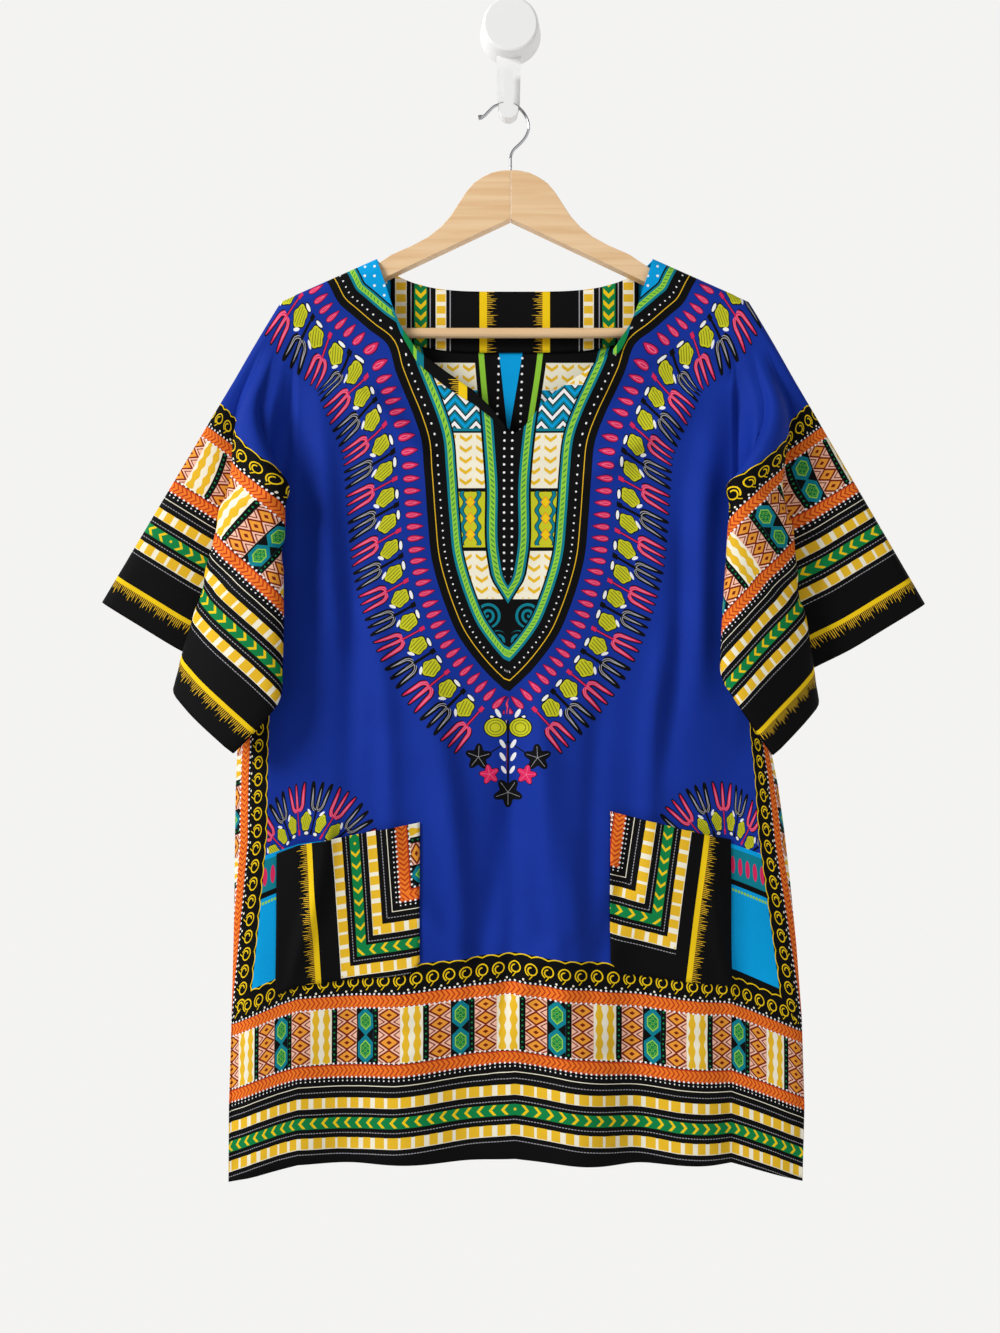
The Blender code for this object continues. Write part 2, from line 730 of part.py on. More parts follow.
def make_wall_hook(collection, cutters):
    """The wall hook: a round tapered knob, and a strap below it that turns up into a tongue."""
    profile = [
        (0, KNOB_DEPTH),
        (KNOB_FRONT_RADIUS - KNOB_EDGE, KNOB_DEPTH),
        (KNOB_FRONT_RADIUS - KNOB_EDGE * 0.3, KNOB_DEPTH - KNOB_EDGE * 0.3),
        (KNOB_FRONT_RADIUS, KNOB_DEPTH - KNOB_EDGE),
        (KNOB_RADIUS, 0),
        (0, 0),
    ]
    mesh = bpy.data.meshes.new("wall_hook")
    points = [(out * MM, 0, up * MM) for out, up in profile]
    mesh.from_pydata(points, [(row, row + 1) for row in range(len(points) - 1)], [])
    hook = add_object("wall_hook", mesh, collection)
    hook.rotation_euler = (math.pi / 2, 0, 0)
    turned = hook.modifiers.new("turned", "SCREW")
    turned.steps = 48
    turned.render_steps = 48
    turned.use_merge_vertices = True
    turned.merge_threshold = 0.00001
    round_end = STRAP_WIDTH * 0.39
    low = STRAP_BOTTOM + round_end
    half = STRAP_WIDTH / 2
    plate = [(half, STRAP_TOP), (half * 0.92, low + 8)]
    plate += arc(0, low, round_end, 0, -180, 9)
    plate += [(-half * 0.92, low + 8), (-half, STRAP_TOP)]
    cradle = [(out - STRAP_CENTRE, up) for out, up in reversed(CRADLE_TOP)]
    foot = cradle + arc(0, low, round_end, 0, -180, 9)
    tongue_half = TONGUE_WIDTH / 2
    tongue = [
        (tongue_half, TONGUE_TOP - 2),
        (tongue_half, low),
        (-tongue_half, low),
        (-tongue_half, TONGUE_TOP - 2),
        (-tongue_half + 2, TONGUE_TOP),
        (tongue_half - 2, TONGUE_TOP),
    ]
    tongue_front = TONGUE_BACK - STRAP_THICK
    shapes = (
        ("strap", plate, STRAP_BACK, STRAP_BACK - STRAP_THICK),
        ("cradle", foot, STRAP_BACK - STRAP_THICK / 2, tongue_front),
        ("tongue", tongue, TONGUE_BACK, tongue_front),
    )
    for name, outline, back, front in shapes:
        moved = [(out + STRAP_CENTRE, up) for out, up in outline]
        piece = outline_solid("hook_" + name, moved, back - front, cutters)
        piece.location = (0, (back + front) / 2 * MM, 0)
        piece.hide_render = True
        piece.display_type = "WIRE"
        join = hook.modifiers.new(name, "BOOLEAN")
        join.operation = "UNION"
        join.object = piece
    add_material(hook, WHITE, 0.35)


def clear_scene():
    for item in list(bpy.data.objects):
        bpy.data.objects.remove(item, do_unlink=True)


def main():
    clear_scene()
    collection = bpy.data.collections.new("dashiki_shirt")
    cutters = bpy.data.collections.new("joined_shapes")
    bpy.context.scene.collection.children.link(collection)
    bpy.context.scene.collection.children.link(cutters)
    make_front(collection)
    make_back(collection)
    make_hanger(collection)
    make_wire(collection)
    make_wall_hook(collection, cutters)


main()
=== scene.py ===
import math

import bpy
import numpy as np
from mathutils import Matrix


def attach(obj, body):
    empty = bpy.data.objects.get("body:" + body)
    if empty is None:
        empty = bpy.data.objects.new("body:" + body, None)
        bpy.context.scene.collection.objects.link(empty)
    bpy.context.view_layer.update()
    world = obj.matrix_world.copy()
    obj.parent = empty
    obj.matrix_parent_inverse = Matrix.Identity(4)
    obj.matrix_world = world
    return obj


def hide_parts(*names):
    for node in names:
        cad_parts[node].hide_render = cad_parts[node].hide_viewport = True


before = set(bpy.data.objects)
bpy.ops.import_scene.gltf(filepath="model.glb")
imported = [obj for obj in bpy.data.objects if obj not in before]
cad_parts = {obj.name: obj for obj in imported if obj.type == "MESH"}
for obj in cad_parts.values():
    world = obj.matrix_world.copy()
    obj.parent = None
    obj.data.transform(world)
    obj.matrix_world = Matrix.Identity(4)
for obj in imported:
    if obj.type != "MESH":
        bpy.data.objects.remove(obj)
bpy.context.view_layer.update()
mm = 0.001
bpy.context.scene.view_settings.view_transform = "Standard"
print("frame loaded")

# Camera: level, square to the wall
cameraData = bpy.data.cameras.new("camera")
cameraData.sensor_fit = "VERTICAL"
cameraData.sensor_height = 36
cameraData.lens = 34.83
camera = bpy.data.objects.new("camera", cameraData)
camera.location = (-0.0098, -1.22, -0.5967)
camera.rotation_euler = (math.pi / 2, 0, 0)
bpy.context.scene.collection.objects.link(camera)
bpy.context.scene.camera = camera

# Flat cut of the cloth, in millimetres: across from the centre line, down from the shoulder
cut = {
    "wall": 1.6,
    "shell": 0.9,
    "trimShell": 0.8,
    "neckHalf": 128,
    "foldStart": 205,
    "sideSeam": 294,
    "cuff": 551,
    "sleeveDepth": 258,
    "length": 828,
    "hemRise": 26,
    "slitStart": 672,
    "slitOpening": 60,
    "backNeck": 27,
    "hemBorder": 640,
    "sideBorder": 247,
    "sleeveBorder": 336,
}
# How the cut hangs: offsets and rounding in millimetres, slopes and shares as numbers
hang = {
    "shift": 4,
    "plane": -20,
    "neckPoint": -218.5,
    "foldStartX": 198,
    "armGap": 9.6,
    "armSlope": 0.445,
    "shoulderRound": 14,
    "sideRound": 40,
    "sleeveRound": 12,
    "fanSpanX": 19,
    "fanSpanAcross": 21,
    "hemSlope": 0.105,
    "evened": (40, 620),
    "frontFall": 8.5,
    "backFall": 2.5,
    "backFolds": 0.7,
    "stripSag": 0.4,
    "slitShare": 0.55,
}
rowShares = (
    0, 0.007, 0.024, 0.048, 0.078, 0.115, 0.16, 0.21, 0.27, 0.33,
    0.395, 0.46, 0.535, 0.617, 0.7, 0.78, 0.85, 0.925, 1,
)
levelFrom = 0.33

# Fan of each sleeve: flat angle, hanging angle, depth in front, half gap
fanLeft = (
    (0, 59.2, 0, 4), (3, 62.1, 0.9, 4.4), (7, 66.1, 1.5, 4.5), (13.5, 72.5, 1, 3.6),
    (17.6, 77.3, 0.5, 2.4), (19.4, 78.6, 2.4, 2.2), (20.9, 79.1, 7.8, 2.2), (22.4, 78.6, 13.2, 2.2),
    (24.2, 77.2, 15.5, 2.2), (26.2, 75.6, 18.2, 2.2), (27.8, 75, 24, 2.2), (29.4, 75.6, 30, 2.4),
    (31.4, 77.3, 34.5, 2.8), (34, 80, 40.5, 3), (36.7, 83, 44.5, 3), (39.6, 86.1, 46.5, 2.6),
    (41.8, 88.1, 45.6, 2.3), (43.7, 89.2, 41, 2.2), (45.5, 88.6, 35.6, 2.2), (48.5, 87, 33.6, 2.2),
    (56, 84.6, 33, 2.2), (62.5, 83, 31, 2.2), (66, 82.2, 26.5, 2.2), (69.5, 82.3, 20.5, 2.3),
    (74, 83.2, 14, 3.4), (81, 85.6, 6, 7), (85.5, 87.8, 2.2, 10), (90, 90, 0, 13),
)
fanRight = (
    (0, 59.7, 0, 4), (3, 62.6, 1.2, 4.4), (7, 66.6, 2, 4.5), (14, 73.4, 2, 4), (19.8, 80.5, 0.5, 2.6),
    (21.6, 81.9, 2.4, 2.2), (23.1, 82.4, 7.8, 2.2), (24.6, 81.9, 13.2, 2.2), (26.4, 80.9, 15.8, 2.2),
    (28.2, 80.3, 20.5, 2.2), (30, 80.7, 26.5, 2.3), (32, 82.2, 32.5, 2.6), (34.5, 84.3, 38.5, 2.8),
    (37.5, 86.9, 43.5, 3), (41, 89.7, 46.8, 3), (44, 91.9, 47, 2.6), (46.2, 93.2, 43.5, 2.3),
    (48, 93.2, 38, 2.2), (50.4, 92, 34.8, 2.2), (56, 90, 33.8, 2.2), (62.5, 88, 32, 2.2),
    (66.5, 86.9, 27, 2.2), (70, 86.6, 20.5, 2.3), (74, 86.8, 14, 3.4), (81, 88, 6, 7),
    (85.5, 89, 2.2, 10), (90, 90, 0, 13),
)
# Strip beside the side seam: down, left share, right share
sideStrip = (
    (0, 0.5, 0.3), (240, 0.5, 0.3), (400, 0.64, 0.38), (450, 0.67, 0.5), (510, 0.68, 0.6),
    (570, 0.69, 0.68), (660, 0.715, 0.76), (850, 0.725, 0.73),
)
# Upright folds: place at the hem, place at the top, start down, width, depth forward
frontFolds = (
    (-214, -200, 420, 30, 5), (-150, -135, 300, 30, -4), (-98, -90, 260, 34, 7),
    (-44, -30, 330, 26, -4), (62, 40, 240, 36, 13), (112, 96, 330, 22, -5), (170, 150, 300, 34, 6),
    (205, 190, 120, 20, -6),
)
backFolds = (
    (-180, -160, 320, 34, -3.5), (-115, -95, 250, 36, 5), (-30, -24, 300, 38, -3.5),
    (48, 40, 240, 34, 6), (120, 100, 330, 32, -3), (184, 170, 280, 30, 4.5),
)
# Neck edge of the front: across, down
frontNeck = (
    (0, 163), (8, 158), (22, 140), (38, 124), (64, 106), (90, 87), (106, 63), (113, 46), (120, 24),
    (124.5, 11), (127, 3.5), (128, 0),
)
# Creases, listed one by one: side, across, down, turn from upright in degrees, half length, half width,
# height
creases = (
    (1, -150, 95, 62, 80, 11, -2.2), (1, -120, 150, 50, 70, 10, 1.6), (1, 150, 100, -60, 75, 12, -2.0),
    (1, 118, 160, -48, 70, 10, 1.5), (1, -176, 230, 8, 120, 12, 2.2), (1, -158, 330, 4, 130, 11, -1.8),
    (1, 178, 250, -6, 120, 13, 2.4), (1, 150, 340, -3, 120, 12, -2.0), (1, -70, 480, 12, 110, 14, 1.8),
    (1, -20, 560, -8, 100, 13, -1.6), (1, 40, 520, 6, 120, 14, 1.8), (1, 88, 600, -10, 80, 10, -1.6),
    (1, -60, 620, 30, 60, 9, 1.4), (1, 20, 660, -25, 50, 8, 1.2), (1, -190, 560, -14, 80, 9, 1.8),
    (1, -58, 560, 4, 150, 9, 1.2), (1, -8, 600, -3, 160, 8, -1.2), (1, 34, 570, 3, 150, 8, 1.3),
    (1, 72, 520, -6, 140, 10, -1.4), (1, -120, 430, 7, 120, 11, 1.6), (1, 128, 450, -8, 120, 11, 1.5),
    (1, 196, 600, 12, 80, 9, 1.8), (1, -110, 700, 70, 60, 7, -1.4), (1, 120, 716, -72, 70, 7, -1.4),
    (1, 8, 738, 80, 60, 8, -1.2), (1, -350, 120, 70, 60, 9, 1.5), (1, -430, 150, 60, 60, 9, -1.3),
    (1, 360, 130, -68, 60, 9, 1.5), (1, 450, 140, -60, 60, 9, -1.4), (-1, -150, 110, 55, 90, 12, 2.0),
    (-1, 140, 120, -52, 90, 12, 2.1), (-1, 0, 300, 5, 150, 15, 1.8), (-1, -90, 420, -8, 150, 14, -1.8),
    (-1, 95, 460, 7, 140, 14, 2.0), (-1, -40, 620, 40, 70, 10, 1.5), (-1, 60, 680, -45, 70, 9, -1.4),
    (-1, -170, 520, 6, 110, 12, 1.8), (-1, 180, 380, -5, 110, 12, -1.9),
)


def smoothStep(start, end, value):
    share = np.clip((np.asarray(value, float) - start) / (end - start), 0, 1)
    return share * share * (3 - 2 * share)


def through(rows, column, value):
    # cubic through a table's column, with slopes from its neighbours
    table = np.array(rows, float)
    place, height = table[:, 0], table[:, column]
    slope = np.gradient(height, place)
    value = np.clip(value, place[0], place[-1])
    row = np.clip(np.searchsorted(place, value, side="right") - 1, 0, len(place) - 2)
    width = place[row + 1] - place[row]
    share = (value - place[row]) / width
    start = height[row] * (1 + 2 * share) * (1 - share) ** 2
    end = height[row + 1] * share**2 * (3 - 2 * share)
    return start + end + width * share * (1 - share) * (slope[row] * (1 - share) - slope[row + 1] * share)


def roundEdge(distance, radius):
    share = np.clip(distance / radius, 0, 1)
    return np.sqrt(np.clip(1 - (1 - share) ** 2, 0, 1))


def shoulderDrop(out):
    return np.clip(np.abs(out) - cut["neckHalf"], 0, None) * hang["armSlope"]


def hemDrop(out):
    return hang["hemSlope"] * np.abs(out)


def placeAcross(across):
    beyond = np.clip(np.abs(across) - cut["neckHalf"], 0, None)
    shrink = (hang["foldStartX"] - cut["neckHalf"]) / (cut["foldStart"] - cut["neckHalf"])
    return np.sign(across) * (np.minimum(np.abs(across), cut["neckHalf"]) + beyond * shrink)


def uprightFolds(rows, out, down):
    # sum of depth * start of the fold * exp(-((out - centre) / width)^2)
    total = np.zeros(np.broadcast(out, down).shape)
    for atHem, atTop, start, width, depth in rows:
        centre = atTop + (atHem - atTop) * down / cut["length"]
        share = smoothStep(start, cut["length"], down)
        total = total + depth * share * np.exp(-(((out - centre) / width) ** 2))
    return total


def frontDepth(out, down):
    fall = hang["frontFall"] * smoothStep(30, 480, down) + 2 * smoothStep(480, cut["length"], down)
    return hang["plane"] - hang["armGap"] - fall - uprightFolds(frontFolds, out, down)


def backDepth(out, down):
    fall = hang["backFall"] * smoothStep(30, 300, down) - 1.5 * smoothStep(500, cut["length"], down)
    return hang["plane"] + hang["armGap"] + fall - uprightFolds(backFolds, out, down) * hang["backFolds"]


def fanOf(across, down):
    # angle and length of the ray through a flat point, found by halving the angle's range
    beyond = np.abs(across) - cut["foldStart"]
    low = np.zeros(np.broadcast(beyond, down).shape)
    high = low + 90
    for step in range(26):
        angle = (low + high) / 2
        out = beyond - hang["fanSpanAcross"] * (1 - angle / 90)
        steeper = np.degrees(np.arctan2(down, out)) > angle
        low = np.where(steeper, angle, low)
        high = np.where(steeper, high, angle)
    angle = (low + high) / 2
    return angle, np.hypot(beyond - hang["fanSpanAcross"] * (1 - angle / 90), down)


def fanColumn(column, across, angle):
    return np.where(across < 0, through(fanLeft, column, angle), through(fanRight, column, angle))


def stripBlend(angle, radius):
    return smoothStep(69, 78, angle) * smoothStep(215, 330, radius)


def middle(across, down):
    # where a flat point hangs, halfway between the front and the back
    across = np.asarray(across, float)
    down = np.asarray(down, float)
    out = placeAcross(np.clip(across, -cut["foldStart"], cut["foldStart"]))
    evened = smoothStep(*hang["evened"], down)
    sunk = shoulderDrop(out) * (1 - evened) + hemDrop(out) * evened
    depth = (frontDepth(out, down) + backDepth(out, down)) / 2
    body = np.stack([out, depth, hang["neckPoint"] - down - sunk], axis=-1)
    angle, radius = fanOf(across, down)
    first = np.where(across < 0, fanLeft[0][1], fanRight[0][1])
    even = first + (90 - first) * angle / 90
    turn = even + (fanColumn(1, across, angle) - even) * smoothStep(90, 190, radius)
    strip = stripBlend(angle, radius)
    share = np.where(across < 0, through(sideStrip, 1, down), through(sideStrip, 2, down))
    turn = np.radians(turn + (90 - share * (90 - angle) - turn) * strip)
    side = np.where(across < 0, -1.0, 1.0)
    startX = side * (hang["foldStartX"] + hang["fanSpanX"] * (1 - angle / 90))
    startZ = hang["neckPoint"] - shoulderDrop(startX)
    eased = shoulderDrop(hang["foldStartX"]) - hemDrop(hang["foldStartX"])
    lift = eased * evened * smoothStep(50, 85, angle)
    reach = radius * np.cos(turn)
    sag = hang["stripSag"] * np.clip(reach, 0, None) * strip * smoothStep(300, 620, radius)
    edge = side * hang["foldStartX"]
    base = (frontDepth(edge, down) + backDepth(edge, down)) / 2
    forward = fanColumn(2, across, angle) * smoothStep(45, 155, radius) * (1 - strip)
    height = startZ - radius * np.sin(turn) + lift - sag
    fan = np.stack([startX + side * reach, base - forward, height], axis=-1)
    point = np.where((np.abs(across) > cut["foldStart"])[..., None], fan, body)
    point[..., 0] += hang["shift"]
    return point


def seamDistance(across, down):
    # how far a flat point lies in from the side seam and the seam under the sleeve
    out = np.abs(across)
    corner = np.hypot(cut["sideSeam"] - out, cut["sleeveDepth"] - down)
    above = np.where(out > cut["sideSeam"], cut["sleeveDepth"] - down, corner)
    return np.where(down > cut["sleeveDepth"], cut["sideSeam"] - out, above)


def halfGap(across, down):
    # half the room between the front and the back: none at a seam, open at the hem, cuffs and slits
    out = placeAcross(np.clip(across, -cut["foldStart"], cut["foldStart"]))
    angle, radius = fanOf(across, down)
    beyond = np.abs(across) > cut["foldStart"]
    body = (backDepth(out, down) - frontDepth(out, down)) / 2
    fan = fanColumn(3, across, angle) * (0.3 + 0.7 * smoothStep(110, 260, radius))
    fan = fan + (body - fan) * np.maximum(smoothStep(78, 90, angle), stripBlend(angle, radius))
    fan = hang["armGap"] + (fan - hang["armGap"]) * smoothStep(40, 110, radius)
    distance = np.clip(seamDistance(across, down), 0, None)
    onSleeve = np.abs(across) > cut["sideSeam"]
    sewn = roundEdge(distance, np.where(onSleeve, hang["sleeveRound"], hang["sideRound"]))
    slit = hang["slitShare"] * smoothStep(cut["slitStart"], cut["slitStart"] + cut["slitOpening"], down)
    sewn = np.maximum(sewn, np.where(beyond, slit, 0))
    return np.where(beyond, fan, body) * sewn * roundEdge(down, hang["shoulderRound"])


def facingWay(across, down):
    # the way the front faces: straight out on the body, square to the cloth on the sleeves
    step = 0.6
    along = middle(across + step, down) - middle(across - step, down)
    fall = middle(across, down + step) - middle(across, np.maximum(down - step, 0))
    way = -np.cross(along, fall)
    way = way / np.maximum(np.linalg.norm(way, axis=-1, keepdims=True), 1e-9)
    angle, radius = fanOf(across, down)
    strip = np.maximum(smoothStep(70, 84, angle), stripBlend(angle, radius))
    beyond = np.abs(across) > cut["foldStart"]
    turned = np.where(beyond, smoothStep(60, 150, radius) * (1 - strip), 0)[..., None]
    straight = np.zeros_like(way)
    straight[..., 1] = -1
    way = straight + (way - straight) * turned
    return way / np.linalg.norm(way, axis=-1, keepdims=True)


# How far creases stand out and bend, and the finer unevenness of the cloth
creaseForm = {
    "height": 3.4,
    "bend": 6,
    "ripple": 0.75,
    "overHanger": -2.5,
    "towardsWall": 2.6,
    "pucker": 0.3,
    "stitchLine": 16,
    "stitchWidth": 7,
}


def creaseLift(side, across, down):
    # ridge: height * exp(-(off the line / width)^2 - (along the line / length)^4)
    total = np.zeros(np.broadcast(across, down).shape)
    for panel, atAcross, atDown, turn, halfLength, halfWidth, height in creases:
        if panel != side:
            continue
        lean = math.radians(turn)
        x, y = across - atAcross, down - atDown
        along = y * math.cos(lean) + x * math.sin(lean)
        bend = creaseForm["bend"] * np.sin(along / halfLength * 1.9 + atAcross)
        off = x * math.cos(lean) - y * math.sin(lean) + bend
        ridge = np.exp(-((off / halfWidth) ** 2) - (along / halfLength) ** 4)
        total = total + creaseForm["height"] * height * ridge
    ripple = np.sin(across / 17 + 2.2 * np.sin(down / 61)) * np.sin(down / 43 + 1.3 * np.sin(across / 37))
    total = total + creaseForm["ripple"] * ripple
    # no deeper than the room inside the cloth, and shallow where the hanger's arms lie
    clear = np.maximum(smoothStep(110, 170, down), smoothStep(205, 240, np.abs(across)))
    total = np.maximum(total, creaseForm["overHanger"] - 20 * clear)
    total = np.maximum(total, 1 - 1.5 * halfGap(across, down))
    if side < 0:
        total = np.minimum(total, creaseForm["towardsWall"])
    # small puckers along the stitched hem and cuffs
    onSleeve = np.abs(across) > cut["sideSeam"]
    free = np.where(onSleeve, cut["cuff"] - np.abs(across), hemDown(across) - down)
    stitched = np.exp(-(((free - creaseForm["stitchLine"]) / creaseForm["stitchWidth"]) ** 2))
    pucker = creaseForm["pucker"] * np.sin(across / 6.1 + 2 * np.sin(down / 7.3)) * stitched
    edges = smoothStep(0, 60, np.clip(seamDistance(across, down), 0, None)) * smoothStep(15, 70, down)
    return (total + pucker) * edges


def onPanel(side, across, down, lift):
    across = np.asarray(across, float)
    down = np.asarray(down, float)
    offset = side * (halfGap(across, down) + 0.15 + lift + creaseLift(side, across, down))
    return middle(across, down) + facingWay(across, down) * np.asarray(offset)[..., None]


def hemDown(across):
    return cut["length"] - cut["hemRise"] * (np.abs(across) / cut["sideSeam"]) ** 1.3


def fanReach(angle):
    # length of a ray of the fan, out to the cuff, the seams or the hem
    turn = math.radians(angle)
    along = max(math.cos(turn), 1e-9)
    start = cut["foldStart"] + hang["fanSpanAcross"] * (1 - angle / 90)
    under = cut["sleeveDepth"] / max(math.sin(turn), 1e-9)
    side = (cut["sideSeam"] - start) / along
    if side < under:
        return min((cut["cuff"] - start) / along, under)
    hem = cut["length"]
    for step in range(8):
        hem = hemDown(start + hem * along) / math.sin(turn)
    return min(side, hem)


def finer(values, times):
    # a list with more values evenly between its own
    places = np.arange(len(values))
    return np.interp(np.linspace(0, len(values) - 1, (len(values) - 1) * times + 1), places, values)


panelGrid = {"rowsBetween": 8, "rayRows": 1.05, "lastRay": 89.7, "rayStep": 0.8, "cornerRoom": 0.3}


def panelCut(neck):
    # grid of flat points: upright columns over the body, then rays over the sleeve and the side
    shares = finer(rowShares, panelGrid["rowsBetween"])
    even = np.linspace(0, 1, len(shares)) ** panelGrid["rayRows"]
    corners = fanOf(
        np.array([cut["cuff"], cut["sideSeam"], cut["sideSeam"]], float),
        np.array([cut["sleeveDepth"], cut["sleeveDepth"], hemDown(cut["sideSeam"])], float),
    )[0].tolist()
    spread = np.arange(0, panelGrid["lastRay"], panelGrid["rayStep"])
    angles = [angle for angle in spread if min(abs(angle - c) for c in corners) > panelGrid["cornerRoom"]]
    angles = sorted(angles + corners)
    columns = []
    for angle in reversed(angles):
        mixed = even + (shares - even) * smoothStep(55, 80, angle)
        radius = fanReach(angle) * mixed
        start = cut["foldStart"] + hang["fanSpanAcross"] * (1 - angle / 90)
        turn = math.radians(angle)
        columns.append((start + radius * math.cos(turn), radius * math.sin(turn)))
    inner = np.unique(np.concatenate([np.arange(0, 206, 5.0), np.arange(104, 130, 2.0), [127, 128]]))
    body = []
    for across in inner:
        top = float(np.interp(across, [row[0] for row in neck], [row[1] for row in neck]))
        bottom = hemDown(across)
        level = levelFrom * bottom
        above = top + (level - top) * shares / levelFrom
        body.append((np.full(len(shares), across), np.where(shares < levelFrom, above, bottom * shares)))
    half = body + columns
    across = np.array([column[0] for column in half])
    down = np.array([column[1] for column in half])
    return np.concatenate([-across[:0:-1], across]), np.concatenate([down[:0:-1], down])


def putInScene(name, data):
    item = bpy.data.objects.new(name, data)
    bpy.context.scene.collection.objects.link(item)
    return item


def gridObject(name, points, flip, layers):
    # layers: name of a UV map and its two values at each point
    columns, rows = points.shape[:2]
    number = np.arange(columns * rows).reshape(columns, rows)
    corners = [number[:-1, :-1], number[1:, :-1], number[1:, 1:], number[:-1, 1:]]
    if flip:
        corners.reverse()
    faces = np.stack([corner.ravel() for corner in corners], axis=-1)
    mesh = bpy.data.meshes.new(name)
    mesh.from_pydata((points.reshape(-1, 3) * mm).tolist(), [], faces.tolist())
    order = faces.ravel()
    for title, values in layers.items():
        layer = mesh.uv_layers.new(name=title)
        layer.data.foreach_set("uv", values.reshape(-1, 2)[order].ravel().astype(np.float32))
    mesh.shade_smooth()
    return putInScene(name, mesh)


def asShell(item, thickness):
    solid = item.modifiers.new("shell", "SOLIDIFY")
    solid.thickness = thickness * mm
    solid.offset = 0
    return item


# Outline of the neck ornament: down below the neck point, half width
ornament = (
    (-60, 228), (26, 168), (44, 158), (54, 146.6), (68, 130.4), (81, 114.3), (105, 106), (123.7, 98),
    (146.8, 88), (170, 80), (199, 77), (240.5, 74), (282.6, 69.4), (303, 64), (323.8, 56.9), (348.9, 46),
    (366, 34.5), (382.3, 21), (402.4, 0),
)
ornamentAxis = {"top": -3.5, "tip": -6.5, "from": 60, "to": 200}
# Line that the ring of flowers follows: how much its corners are eased, and how far out it runs
ringLine = {"ease": 20, "out": 38, "steps": 900, "pad": 150}


def ornamentPlaces(points):
    # length along a line outside the ornament and distance in from its edge, then place on the chest
    y = -points[..., 2] + hang["neckPoint"]
    drift = smoothStep(ornamentAxis["from"], ornamentAxis["to"], y)
    axis = ornamentAxis["top"] + (ornamentAxis["tip"] - ornamentAxis["top"]) * drift
    out = points[..., 0] - hang["shift"] - axis
    x = np.abs(out)
    rows = np.array(ornament)[::-1]
    length = np.concatenate([[0], np.cumsum(np.hypot(*np.diff(rows, axis=0).T))])
    table = np.column_stack([length, rows])
    at = np.linspace(0, length[-1], ringLine["steps"])
    edgeY, edgeX = through(table, 1, at), through(table, 2, at)
    alongX, alongY = np.gradient(edgeX, at), np.gradient(edgeY, at)
    size = np.hypot(alongX, alongY)
    outX, outY = -alongY / size, alongX / size
    outX, outY = np.where(outX < 0, -outX, outX), np.where(outX < 0, -outY, outY)
    # the same edge with its corners eased, moved out
    pad = ringLine["pad"]
    kernel = np.exp(-((np.arange(-pad, pad + 1) * at[1] / ringLine["ease"]) ** 2) / 2)
    kernel = kernel / kernel.sum()
    pastX = 2 * edgeX[-1] - edgeX[-2 : -pad - 2 : -1]
    pastY = 2 * edgeY[-1] - edgeY[-2 : -pad - 2 : -1]
    longX = np.concatenate([-edgeX[pad:0:-1], edgeX, pastX])
    longY = np.concatenate([2 * edgeY[0] - edgeY[pad:0:-1], edgeY, pastY])
    easedX = np.convolve(longX, kernel, "valid")
    easedY = np.convolve(longY, kernel, "valid")
    stepX, stepY = np.gradient(easedX), np.gradient(easedY)
    size = np.hypot(stepX, stepY)
    farX = easedX - ringLine["out"] * stepY / size
    farY = easedY + ringLine["out"] * stepX / size
    farAt = np.concatenate([[0], np.cumsum(np.hypot(np.diff(farX), np.diff(farY)))])
    inward = np.empty(x.shape)
    along = np.empty(x.shape)
    for column in range(x.shape[0]):
        dx, dy = x[column][:, None] - edgeX, y[column][:, None] - edgeY
        near = np.argmin(dx**2 + dy**2, axis=1)
        pick = np.arange(len(near))
        off = dx[pick, near] * outX[near] + dy[pick, near] * outY[near]
        inward[column] = -np.sign(off) * np.hypot(dx[pick, near], dy[pick, near])
        dx, dy = x[column][:, None] - farX, y[column][:, None] - farY
        near = np.clip(np.argmin(dx**2 + dy**2, axis=1), 1, len(farX) - 2)
        tx, ty = farX[near + 1] - farX[near - 1], farY[near + 1] - farY[near - 1]
        size = np.hypot(tx, ty)
        along[column] = farAt[near] + (dx[pick, near] * tx + dy[pick, near] * ty) / size
    return np.stack([along * np.sign(out), inward], axis=-1), np.stack([out, y], axis=-1)


# Inner edge of the rope round the slit: down below the neck point, half width
slitRope = ((-60, 34), (92, 24), (170, 15), (207, 12), (281, 9.5), (300, 5), (308, 0), (420, -60))


def slitPlaces(chest):
    half = through(slitRope, 1, chest[..., 1])
    return np.stack([half, np.zeros_like(half)], axis=-1)


def backNeckDown(across):
    return cut["backNeck"] * (1 - (np.abs(across) / cut["neckHalf"]) ** 4)


backNeck = tuple((across, backNeckDown(across)) for across in (0, 40, 75, 100, 116, 123, 126.4, 128))
panels = {}
for name, side, neck in (("shirt_front", 1, frontNeck), ("shirt_back", -1, backNeck)):
    across, down = panelCut(neck)
    points = onPanel(side, across, down, cut["wall"] / 2)
    ring, chest = ornamentPlaces(middle(across, down))
    layers = {
        "cut": np.stack([across, down], axis=-1),
        "ring": ring,
        "chest": chest,
        "slit": slitPlaces(chest),
    }
    panels[name] = asShell(gridObject(name, points, side == 1, layers), cut["shell"])
    print(name, len(panels[name].data.polygons), "faces")

# Dyes, as seen on a screen
dyes = {
    "blue": (19, 51, 154), "black": (9, 8, 9), "yellow": (248, 208, 22), "cream": (252, 246, 222),
    "gold": (241, 192, 42), "green": (14, 132, 70), "teal": (10, 128, 146), "sky": (0, 162, 228),
    "orange": (246, 128, 40), "rust": (124, 34, 14), "pink": (222, 40, 96), "rose": (250, 196, 170),
    "blush": (248, 120, 150), "lime": (150, 212, 62), "leaf": (206, 206, 40), "moss": (118, 124, 18),
    "plum": (60, 10, 70), "amber": (243, 160, 56), "brick": (196, 62, 22), "grey": (170, 170, 176),
    "white": (250, 250, 250),
}


